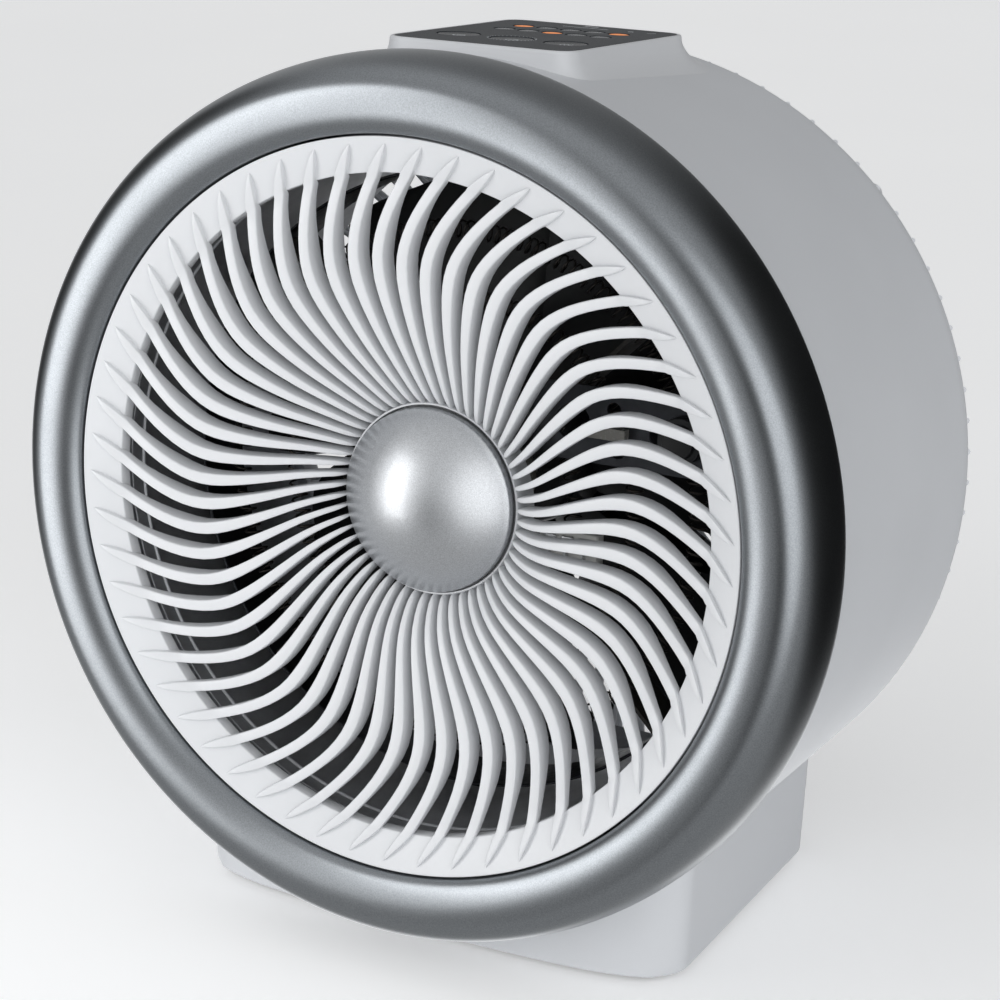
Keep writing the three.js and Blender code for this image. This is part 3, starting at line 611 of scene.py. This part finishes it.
rear = Shape()
rear.add(lathe(rounded([
    (137.4, -160.4), (144.0, -160.4, 0.6), (144.3, -163.0, 2.0), (141.8, -166.4, 2.2), (137.6, -168.6, 0.8),
], 0.4, 5), 240))
rear.add(lathe(rounded([
    (0, -172.3), (30, -172.3, 8), (36, -171.6, 3), (40, -171.6, 3), (45.4, -172.3, 1.2), (46.2, -170.9, 0.6),
    (45.2, -169.6, 0.6), (38, -169.4), (0, -169.4),
], 1, 4, closed=False), 144, closed=False))
for i in range(RIBS):
    a = i * TAU / RIBS
    path = [(r * math.cos(a), r * math.sin(a), z + 0.2) for r, z in RIB_PATH]
    rear.add(rod_along(path, 1.2, 8, 1.25))
    inner = [(r * math.cos(a), r * math.sin(a), z) for r, z in INNER_RIB_PATH]
    rear.add(rod_along(inner, 0.8, 6, 2.0))
boss = lathe(rounded([
    (2.9, -163.2), (2.9, -165.9, 0.3), (3.9, -165.9, 0.5), (4.1, -162, 0.3),
], 0.3, 3, closed=False), 32, closed=False)
for x, y in SCREW_SPOTS:
    rear.add(boss, move=lambda v, x=x, y=y: (v[0] + x * BOSS_SHIFT, v[1] + y * BOSS_SHIFT, v[2]))
build("rear_grille_moulding", rear, ["housing"], ["rear_grille"], angle=45)


def cross_head(x, y, face, radius, facing, depth):
    """A pan head with a cross recess, looking along z: facing is +1 or -1."""
    count = 40
    rows = []
    for share in [0, 0.12, 0.2, 0.28, 0.38, 0.5, 0.6, 0.64, 0.8, 0.93, 1.0, 1.0]:
        row = []
        for i in range(count):
            a = TAU * i / count
            px, py = share * radius * math.cos(a), share * radius * math.sin(a)
            swell = 0.35 * (1 - share ** 2)
            in_cross = min(abs(px), abs(py)) < radius * 0.13 and max(abs(px), abs(py)) < radius * 0.62
            row.append([x + px, y + py, face + facing * (swell - (0.75 if in_cross else 0.0))])
        rows.append(row)
    for v in rows[-1]:
        v[2] = face - facing * depth
    return skin(rows)


for i, (x, y) in enumerate(SCREW_SPOTS):
    piece = cross_head(x, y, -164.9, 2.6, -1, 1.4)
    build(f"rear_screw_head_{i + 1}", piece, ["steel"], [f"rear_grille_screw_{i + 1}"], angle=30)


# ---- control pod -----------------------------------------------------------------------------------
PANEL_HALF, PANEL_FRONT, PANEL_REAR, PANEL_TOP = 34, -47, -138, 152.4
PANEL_CORNER = 6.5
POD_RISE = 151.3  # where the pod's flank ends and its rounded edge starts


def corner_loop(corners, radii, steps=8, edge_steps=10):
    """A loop of four round corners with points along the edges too, for matching with another such loop."""
    arcs = []
    for i, (corner, radius) in enumerate(zip(corners, radii)):
        here = Vector(corner)
        before = (Vector(corners[i - 1]) - here).normalized() * radius
        after = (Vector(corners[(i + 1) % 4]) - here).normalized() * radius
        arcs.append([
            (here + before) * (1 - t) ** 2 + here * 2 * t * (1 - t) + (here + after) * t ** 2
            for t in [k / steps for k in range(steps + 1)]
        ])
    loop = []
    for i, arc in enumerate(arcs):
        loop += arc
        start, end = arc[-1], arcs[(i + 1) % 4][0]
        loop += [start.lerp(end, k / edge_steps) for k in range(1, edge_steps)]
    return loop


def panel_loop(grow):
    """The control panel's outline, grown on all sides."""
    x, front, back = PANEL_HALF + grow, PANEL_FRONT + grow, PANEL_REAR - grow
    corner = (PANEL_CORNER + grow) * 1.15
    return corner_loop([(x, front), (x, back), (-x, back), (-x, front)], [corner] * 4)


def foot_loop():
    """The pod's outline where it meets the drum."""
    return corner_loop([(40.0, -44.0), (48.6, -156), (-48.6, -156), (-40.0, -44.0)], [14, 24, 24, 14])


def pod_loops():
    foot, top = foot_loop(), panel_loop(1.7)
    loops = []
    for k in range(13):
        v = k / 12
        across = 1 - (1 - v) ** 1.75
        rise = v ** 1.2
        loop = []
        for f, t in zip(foot, top):
            base = math.sqrt(drum_radius(f.y) ** 2 - f.x ** 2) - 0.35
            here = f.lerp(t, across)
            loop.append((here.x, base + (POD_RISE - base) * rise, here.y))
        loops.append(loop)
    for grow, drop in [(1.66, 0.7), (1.5, 0.35), (1.25, 0.1), (0.95, 0), (0.5, 0), (0.3, 0.1), (0.22, 0.4),
                       (0.22, 2.4)]:
        loops.append([(p.x, PANEL_TOP - drop, p.y) for p in panel_loop(grow)])
    return loops


build("control_pod_moulding", skin(pod_loops()), ["pod"], ["control_pod"], angle=60)

# ---- control panel ---------------------------------------------------------------------------------
BUTTONS = {"timer_button": -20.6, "power_button": 0.0, "mode_button": 20.6}
BUTTON_Z = -72.5
FRONT_LIGHTS, REAR_LIGHTS, LIGHT_PITCH = -102.5, -117, 9.4
LIGHTS = [((i - 2) * LIGHT_PITCH, z) for z in (FRONT_LIGHTS, REAR_LIGHTS) for i in range(5)]
LIT = [(0, FRONT_LIGHTS), (-2 * LIGHT_PITCH, REAR_LIGHTS), (2 * LIGHT_PITCH, REAR_LIGHTS)]
panel_holes = [circle(x, BUTTON_Z, 7.7, 56) for x in BUTTONS.values()]
panel_holes += [circle(x, z, 3.95, 36) for x, z in LIGHTS]
panel_holes.append([(-4.2, -137.1), (2.2, -137.1), (2.2, -133.4), (-4.2, -133.4)])
fascia = plate([(p.x, p.y) for p in panel_loop(0)], panel_holes, PANEL_TOP - 1.6, PANEL_TOP, 0.16)
build("control_panel_fascia", fascia, ["panel"], ["control_panel"], angle=30)

lens = Shape()
LENS_DROPS = [(0, 0.04), (1.6, 0.06), (3.0, 0.14), (3.6, 0.26), (3.78, 0.5), (3.78, 1.7)]
dome = lathe([(r, PANEL_TOP - drop) for r, drop in LENS_DROPS], 36, closed=False)
for x, z in LIGHTS:
    lens.add(on_panel(dome, x, z), 1 if (x, z) in LIT else 0)
lens.add(slab(-25, 25, PANEL_TOP - 3.4, PANEL_TOP - 1.95, -123, -96.5, 0.3), 0)
build("indicator_lens_moulding", lens, ["lens_off", "lens_on"], ["indicator_lens"],
      angle=30)


PRINT_THICK = 0.03


def stroke(points, width, height):
    """A printed line: a thin flat strip along points in x and z."""
    left, right = [], []
    for i, point in enumerate(points):
        here = Vector(point)
        way = (Vector(points[min(i + 1, len(points) - 1)]) - Vector(points[max(i - 1, 0)])).normalized()
        side = Vector((-way.y, way.x)) * width / 2
        left.append(here + side)
        right.append(here - side)
    under = height - PRINT_THICK
    loops = []
    for a, b in zip(left, right):
        loops.append([(a.x, under, a.y), (a.x, height, a.y), (b.x, height, b.y), (b.x, under, b.y)])
    return skin(loops, caps=True)


def ring_stroke(x, z, radius, start, end, width, height, steps=28):
    """A printed arc from one angle to another."""
    points = []
    for k in range(steps + 1):
        a = math.radians(start + (end - start) * k / steps)
        points.append((x + radius * math.cos(a), z + radius * math.sin(a)))
    return stroke(points, width, height)


def button_marks(name, x):
    """Plain generic signs: a clock, an on/off sign and three heat bars."""
    z, height = BUTTON_Z, PANEL_TOP - 0.52
    if name == "power_button":
        return [ring_stroke(x, z, 2.1, 125, 415, 0.42, height),
                stroke([(x, z + 0.5), (x, z + 2.7)], 0.42, height)]
    if name == "timer_button":
        return [ring_stroke(x, z, 2.1, 0, 360, 0.38, height),
                stroke([(x, z + 1.3), (x, z), (x + 1.0, z)], 0.38, height)]
    waves = []
    for k in (-1, 0, 1):
        rises = [step * 0.38 for step in range(11)]
        wave = [(x + k * 1.6 + 0.35 * math.sin(t * 2.1), z - 1.9 + t) for t in rises]
        waves.append(stroke(wave, 0.4, height))
    return waves


BUTTON_DROPS = [
    (0, 0.56), (4.2, 0.56, 1.2), (6.2, 0.34, 0.8), (7.0, 0.16, 0.4), (7.42, 0.3, 0.25), (7.42, 2.0, 0.1),
    (8.7, 2.1, 0.2), (8.7, 3.2, 0.2), (1.6, 3.2, 0.2), (1.6, 5.8, 0.3), (0, 5.8),
]
button_outline = [(r, PANEL_TOP - drop, *corner) for r, drop, *corner in BUTTON_DROPS]
button_body = lathe(rounded(button_outline, 0.3, 4, closed=False), 64, closed=False)
for name, x in BUTTONS.items():
    shape = Shape().add(on_panel(button_body, x, BUTTON_Z))
    for mark in button_marks(name, x):
        shape.add(mark, 1)
    build(name + "_cap", shape, ["button", "mark"], [name], body=name, angle=50)

DOTS, DOT_CIRCLE = 36, 8.35
PRINT_TOP = PANEL_TOP + PRINT_THICK
prints = Shape()
dot = lathe([(0, PRINT_TOP), (0.2, PRINT_TOP), (0.24, PANEL_TOP - 0.02)], 8, closed=False)
for k in range(DOTS):
    a = TAU * k / DOTS
    prints.add(on_panel(dot, DOT_CIRCLE * math.cos(a), BUTTON_Z + DOT_CIRCLE * math.sin(a)))
prints.add(stroke([(-9, -128.6), (9, -128.6)], 0.5, PRINT_TOP))
prints.add(ring_stroke(17.8, -128.8, 0.9, 0, 360, 0.3, PRINT_TOP, 16))
prints.add(stroke([(24.6, -127.9), (27.2, -129.9)], 0.3, PRINT_TOP))
build("panel_printed_marks", prints, ["mark"], [], angle=30)

# ---- pedestal --------------------------------------------------------------------------------------
BASE_HALF, BASE_FRONT, BASE_SIDE_FRONT, BASE_REAR, BASE_LOW = 96.3, 13.9, 30.0, 141.2, 2.5
BASE_BOW, BASE_CORNER_BOW = 3.5, 9.1
BASE_WALL = 3.0
BASE_FLARE = math.tan(math.radians(3))
SEAT_GAP = 0.55  # between the pedestal's rim and the drum


def front_edge(x):
    """The bowed front of the pedestal in plan."""
    u = x / BASE_HALF
    return BASE_FRONT + BASE_BOW * u * u + BASE_CORNER_BOW * u ** 6


def pedestal_loop(inset, z, steps=30):
    """The pedestal's outline at height z, drawn in from its outer face."""
    half = BASE_HALF + (z - BASE_LOW) * BASE_FLARE - inset
    rear, side_front = BASE_REAR - inset, BASE_SIDE_FRONT + inset
    points = [(half, rear, 7.5), (-half, rear, 7.5), (-half, side_front, 9.0)]
    for k in range(1, steps):
        x = (-1 + 2 * k / steps) * (half - 2.0)
        points.append((x, front_edge(x * BASE_HALF / (half + inset)) + inset, 0.0))
    points.append((half, side_front, 9.0))
    return rounded(points, 0.0, 8)


def drum_under(x, y, gap):
    """Height of the drum's underside over a point of the pedestal's plan."""
    z = 20.0
    for _ in range(6):
        along = -y * COS + (z - AXIS_HEIGHT) * SIN
        reach = drum_radius(max(DRUM_BACK, min(0, along))) + gap
        down = -math.sqrt(max(0.0, reach ** 2 - x ** 2))
        z = AXIS_HEIGHT + (down - y * SIN) / COS
    return z


def pedestal_loops():
    """The rounded foot, the flared wall up to the drum's underside, and the inside back down."""
    wall_low = 3.8
    rows = []
    for inset, z in [(1.4, BASE_LOW), (0.75, 2.62), (0.25, 3.05), (0.0, wall_low)]:
        rows.append([(x, y, z) for x, y in pedestal_loop(inset, z)])
    steps = 14
    for k in range(1, steps + 1):
        share = k / steps
        row = []
        for i, (x, y) in enumerate(pedestal_loop(0, wall_low)):
            for _ in range(4):
                top = drum_under(x, y, SEAT_GAP)
                z = wall_low + (top - wall_low) * share
                x, y = pedestal_loop(0, z)[i]
            row.append((x, y, z))
        rows.append(row)
    rows.append([(x, y, drum_under(x, y, SEAT_GAP)) for x, y in pedestal_loop(BASE_WALL, 20)])
    rows.append([(x, y, BASE_LOW) for x, y in pedestal_loop(BASE_WALL, BASE_LOW)])
    rows.append(rows[0])
    return rows


pedestal = skin(pedestal_loops())
build("pedestal_moulding", pedestal, ["housing"], ["pedestal_shell"], matrix=FLOOR)

pad = lathe(rounded([
    (0, 0.25), (2.2, 0.25, 0.3), (2.6, 0.0, 0.3), (7.0, 0.0, 0.6), (8.0, 0.9, 0.5), (8.0, 2.6, 0.2), (0, 2.6),
], 0.3, 4, closed=False), 48, closed=False)
for i, (x, y) in enumerate([(-76, 40), (76, 40), (-76, 128), (76, 128)]):
    shape = Shape().add(pad, move=lambda v, x=x, y=y: (v[0] + x, v[1] + y, v[2]))
    build(f"rubber_pad_{i + 1}", shape, ["rubber"], [f"rubber_foot_{i + 1}"], matrix=FLOOR)
for i, (x, y) in enumerate([(-87, 44), (87, 44), (-87, 124), (87, 124)]):
    piece = cross_head(x, y, 1.5, 3.5, -1, -1.1)
    build(f"plate_screw_head_{i + 1}", piece, ["steel"], [f"plate_screw_{i + 1}"], matrix=FLOOR,
          angle=30)

INLET_X, INLET_HEIGHT = 80, 13.5
bush = lathe(rounded([
    (3.4, -6), (5.2, -6, 0.3), (5.2, 0.3), (7, 0.3, 0.4), (6.6, 1.6, 0.8), (5.4, 2.4, 0.8), (4.2, 2.4, 0.4),
    (3.4, 1.4, 0.6),
], 0.3, 4), 64)
shape = Shape().add(bush, move=lambda v: (INLET_X + v[0], BASE_REAR + v[2], INLET_HEIGHT - v[1]))
build("cord_inlet_grommet", shape, ["black"], ["cord_inlet_bush"], matrix=FLOOR)

# ---- air path --------------------------------------------------------------------------------------
duct = lathe(rounded([
    (116.5, -17, 0.4), (121.5, -17, 0.4), (121.5, -18.6, 0.3), (118.1, -19, 0.3), (118.1, -119.4, 1.0),
    (139.5, -119.4, 0.3), (139.5, -121, 0.3), (116.5, -121, 0.6), (116.5, -25.4, 0.3), (115.7, -24.8, 0.4),
    (115.7, -23.6, 0.4), (116.5, -23.0, 0.3),
], 0.3, 4), 256)
build("air_duct_liner", duct, ["duct"], ["air_duct"])

holder = Shape().add(lathe(rounded([
    (108.8, -52, 0.3), (109.4, -51.2, 0.4), (110.0, -52, 0.3), (110.0, -76), (108.8, -76),
], 0.2, 3), 192))
for k in range(3):
    holder.add(turned_part(slab(109.4, 115.8, -6, 6, -66, -64.8, 0.3), 30 + k * 120))
build("element_holder", holder, ["galvanised"], ["element_frame"])
core = lathe(rounded([
    (6, -51.5), (9, -51.5, 0.6), (9.6, -54, 0.6), (16.2, -54, 0.8), (17, -56, 1), (17, -72.5, 0.8),
    (6, -72.5),
], 0.5, 4), 72)
build("element_core_ceramic", core, ["ceramic"], ["element_core"])


COIL_Z, COIL_R, WIRE_R = -48, 2.9, 0.42


def wound_ring(radius, turns):
    """Resistance wire wound round a ring."""
    steps = turns * 9
    path = []
    for k in range(steps):
        a = TAU * k / steps
        w = TAU * turns * k / steps
        r = radius + COIL_R * math.cos(w)
        path.append((r * math.cos(a), r * math.sin(a), COIL_Z + COIL_R * math.sin(w)))
    loops = []
    for k, point in enumerate(path):
        here = Vector(point)
        way = (Vector(path[(k + 1) % steps]) - Vector(path[k - 1])).normalized()
        middle = Vector((here.x, here.y, 0)).normalized() * radius
        outward = (here - Vector((middle.x, middle.y, COIL_Z))).normalized()
        side = way.cross(outward).normalized()
        loops.append([
            here + outward * (WIRE_R * math.cos(TAU * s / 5)) + side * (WIRE_R * math.sin(TAU * s / 5))
            for s in range(5)
        ])
    loops.append(loops[0])
    return skin(loops)


for label, radius, turns in [("inner", 44, 92), ("middle", 67, 140), ("outer", 90, 188)]:
    winding = wound_ring(radius, turns)
    build(f"coil_winding_{label}", winding, ["wire"], [f"heating_coil_{label}"], angle=80)

terminal = Shape().add(slab(36, 58, -20, -6, -43.8, -38.6, 0.6), 0)
for x in (40.5, 47, 53.5):
    terminal.add(slab(x - 0.4, x + 0.4, -18, -11, -38.7, -36.1, 0.15), 1)
    terminal.add(slab(x - 2.2, x + 2.2, -9.6, -7.6, -38.7, -37.4, 0.3), 1)
build("terminal_block_body", terminal, ["terminal", "steel"], ["terminal_block"])
cutout = lathe(rounded([
    (0, -35.6), (5.6, -35.6, 0.4), (6, -37.2, 0.3), (7.9, -37.4, 0.4), (7.9, -41.6, 0.3), (0, -41.6),
], 0.3, 3, closed=False), 40, closed=False)
shape = Shape().add(cutout, move=lambda v: (v[0] + 86, v[1] + 31, v[2]))
build("limit_thermostat_disc", shape, ["black"], ["limit_thermostat"])

# ---- fan and motor ---------------------------------------------------------------------------------
BLADES = 7
# Along a blade: radius, chord, pitch in degrees and lean in radians.
STATIONS = [
    (20.5, 36, 42, 0.0), (36, 48, 37.5, 0.035), (52, 60, 33, 0.07), (66, 70, 28.2, 0.105), (80, 78, 24, 0.14),
    (94, 80, 21, 0.178), (101, 76, 19.8, 0.196), (104.8, 62, 19.2, 0.206), (106, 46, 19, 0.21),
]


def fan_blade(turn):
    loops = []
    for r, chord, pitch, lean in STATIONS:
        angle, slope = turn + lean, math.radians(pitch)
        side = Vector((-math.sin(angle), math.cos(angle), 0))
        across = side * math.cos(slope) + Vector((0, 0, math.sin(slope)))
        normal = Vector((0, 0, math.cos(slope))) - side * math.sin(slope)
        middle = Vector((r * math.cos(angle), r * math.sin(angle), -FAN_DEPTH))
        loop = []
        for k in range(24):
            a = TAU * k / 24
            u = math.cos(a)
            thick = (1.0 - 0.25 * u) * math.sin(a) * (0.35 + 0.65 * (1 - u * u)) + 0.9 * (1 - u * u) * 0.8
            loop.append(middle + across * (u * chord / 2) + normal * thick)
        loops.append(loop)
    return skin(loops, caps=True)


fan = Shape().add(lathe(rounded([
    (3.3, -95), (9, -95, 0.4), (9.6, -92.1, 0.8), (19, -92, 2.5), (24, -97, 3), (24, -116, 0.6),
    (22, -116, 0.4), (21.6, -100, 2), (8, -97.8, 1), (7.6, -115.6, 0.4), (3.3, -115.6),
], 0.4, 4), 72))
for i in range(BLADES):
    fan.add(fan_blade(i * TAU / BLADES))
build("fan_impeller_moulding", fan, ["fan"], ["fan_impeller"], body="fan_rotor", angle=45)

MOTOR_SPLIT = -141.5
for label, end, sign in [("front", -127, -1), ("rear", -156, 1)]:
    split = MOTOR_SPLIT - sign * 0.2
    cup = lathe(rounded([
        (8.3, end), (14, end, 1.0), (15.5, end + sign * 0.8, 1.0), (33, end + sign * 0.8, 2),
        (37, end + sign * 0.3, 2), (41, end + sign * 4, 3), (41, split, 0.3), (39.2, split, 0.3),
        (39.2, end + sign * 5, 2), (34, end + sign * 2.4, 1), (9.9, end + sign * 2.0, 0.4),
        (9.9, end + sign * 5, 0.3), (8.3, end + sign * 5),
    ], 0.4, 4), 96)
    build(f"motor_cup_{label}", cup, ["galvanised"], [f"motor_case_{label}"])

# ---- the CAD's own pieces that show as they are -------------------------------------------------------
KEPT = {
    "hub_cap_push_nut": "steel", "remote_sensor_window": "sensor", "control_board": "board",
    "timer_switch": "black", "power_switch": "black", "mode_switch": "black", "limit_plate": "galvanised",
    "mica_board_1": "mica", "mica_board_2": "mica", "mica_board_3": "mica", "mica_board_4": "mica",
    "thermal_fuse": "ceramic", "fan_shaft": "steel", "fan_nut": "steel", "motor_bracket": "galvanised",
    "motor_stator": "laminations", "motor_rotor": "laminations", "motor_bearing_front": "steel",
    "motor_bearing_rear": "steel", "bottom_plate": "black", "tip_over_switch": "black",
    "power_board": "board",
}
for name, key in KEPT.items():
    NODES[name].data.materials.clear()
    NODES[name].data.materials.append(M[key])

# ---- studio ----------------------------------------------------------------------------------------
FLOOR_REACH = 3.0
floor_mesh = bpy.data.meshes.new("studio_floor")
corners = [(FLOOR_REACH * x, FLOOR_REACH * y, 0) for x, y in [(-1, -1), (1, -1), (1, 1), (-1, 1)]]
floor_mesh.from_pydata(corners, [], [(0, 1, 2, 3)])
floor = bpy.data.objects.new("studio_floor", floor_mesh)
paper, tree, shader = new_material("studio_paper")
tone = noise(tree, 3, 2)
colours = ramp(tree, tone, [(0.3, (0.86, 0.865, 0.87)), (0.7, (0.88, 0.885, 0.89))])
tree.links.new(colours, shader.inputs["Base Color"])
shader.inputs["Roughness"].default_value = 0.9
shader.inputs["Emission Color"].default_value = (1, 1, 1, 1)
shader.inputs["Emission Strength"].default_value = 0.28
shader.inputs["Specular IOR Level"].default_value = 0.1
floor_mesh.materials.append(paper)
scene.collection.objects.link(floor)
floor.visible_glossy = False  # the metal reflects the studio around it, not the paper it stands on

world = bpy.data.worlds.new("studio")
scene.world = world
world.use_nodes = True
tree = world.node_tree
tree.nodes.clear()
coord = tree.nodes.new("ShaderNodeTexCoord")


def direction(az, el):
    """Azimuth 0 is in front of the heater and 90 is to its right."""
    a, e = math.radians(az), math.radians(el)
    return (math.sin(a) * math.cos(e), -math.cos(a) * math.cos(e), math.sin(e))


def lobe(az, el, inner, outer):
    """1 within inner degrees of a direction, 0 beyond outer degrees."""
    dot = tree.nodes.new("ShaderNodeVectorMath")
    dot.operation = "DOT_PRODUCT"
    dot.inputs[1].default_value = direction(az, el)
    tree.links.new(coord.outputs["Generated"], dot.inputs[0])
    step = tree.nodes.new("ShaderNodeMapRange")
    step.interpolation_type = "SMOOTHSTEP"
    step.inputs["From Min"].default_value = math.cos(math.radians(outer))
    step.inputs["From Max"].default_value = math.cos(math.radians(inner))
    tree.links.new(dot.outputs["Value"], step.inputs["Value"])
    return step.outputs["Result"]


def combine(operation, a, b):
    node = tree.nodes.new("ShaderNodeMath")
    node.operation = operation
    for socket, value in zip(node.inputs, (a, b)):
        if isinstance(value, (int, float)):
            socket.default_value = value
        else:
            tree.links.new(value, socket)
    return node.outputs[0]


# Lights and dark screens of the studio: azimuth, elevation, inner and outer spread, gain or loss.
LIGHT_LOBES = [(48, 10, 18, 40, 1.5), (-152, -30, 12, 34, 1.3), (-25, 80, 10, 60, 0.2)]
DARK_LOBES = [(142, 0, 28, 56, 0.98), (-92, 8, 20, 40, 0.92), (-3, -8, 8, 26, 0.85), (175, 40, 10, 55, 0.5)]
level = 0.5
for az, el, inner, outer, gain in LIGHT_LOBES:
    level = combine("ADD", level, combine("MULTIPLY", lobe(az, el, inner, outer), gain))
for az, el, inner, outer, loss in DARK_LOBES:
    kept = combine("SUBTRACT", 1, combine("MULTIPLY", lobe(az, el, inner, outer), loss))
    level = combine("MULTIPLY", level, kept)
studio = tree.nodes.new("ShaderNodeBackground")
studio.inputs["Color"].default_value = (0.985, 0.992, 1.0, 1)
tree.links.new(level, studio.inputs["Strength"])
backdrop = tree.nodes.new("ShaderNodeBackground")
backdrop.inputs["Color"].default_value = (1, 1, 1, 1)
backdrop.inputs["Strength"].default_value = 0.85
path = tree.nodes.new("ShaderNodeLightPath")
pick = tree.nodes.new("ShaderNodeMixShader")
out = tree.nodes.new("ShaderNodeOutputWorld")
tree.links.new(path.outputs["Is Camera Ray"], pick.inputs[0])
tree.links.new(studio.outputs[0], pick.inputs[1])
tree.links.new(backdrop.outputs[0], pick.inputs[2])
tree.links.new(pick.outputs[0], out.inputs["Surface"])


def softbox(name, place, aim, width, height, radiance):
    """A rectangular light that the camera doesn't see."""
    light = bpy.data.lights.new(name, "AREA")
    light.shape = "RECTANGLE"
    light.size, light.size_y = width, height
    light.energy = radiance * math.pi * width * height
    lamp = bpy.data.objects.new(name, light)
    lamp.location = place
    lamp.rotation_euler = (Vector(place) - Vector(aim)).to_track_quat("Z", "Y").to_euler()
    lamp.visible_camera = False
    scene.collection.objects.link(lamp)


softbox("key_softbox", (-0.42, -0.55, 0.24), (0, SEAM.y, 0.19), 0.29, 0.62, 3.5)
scene.view_settings.view_transform = "Standard"
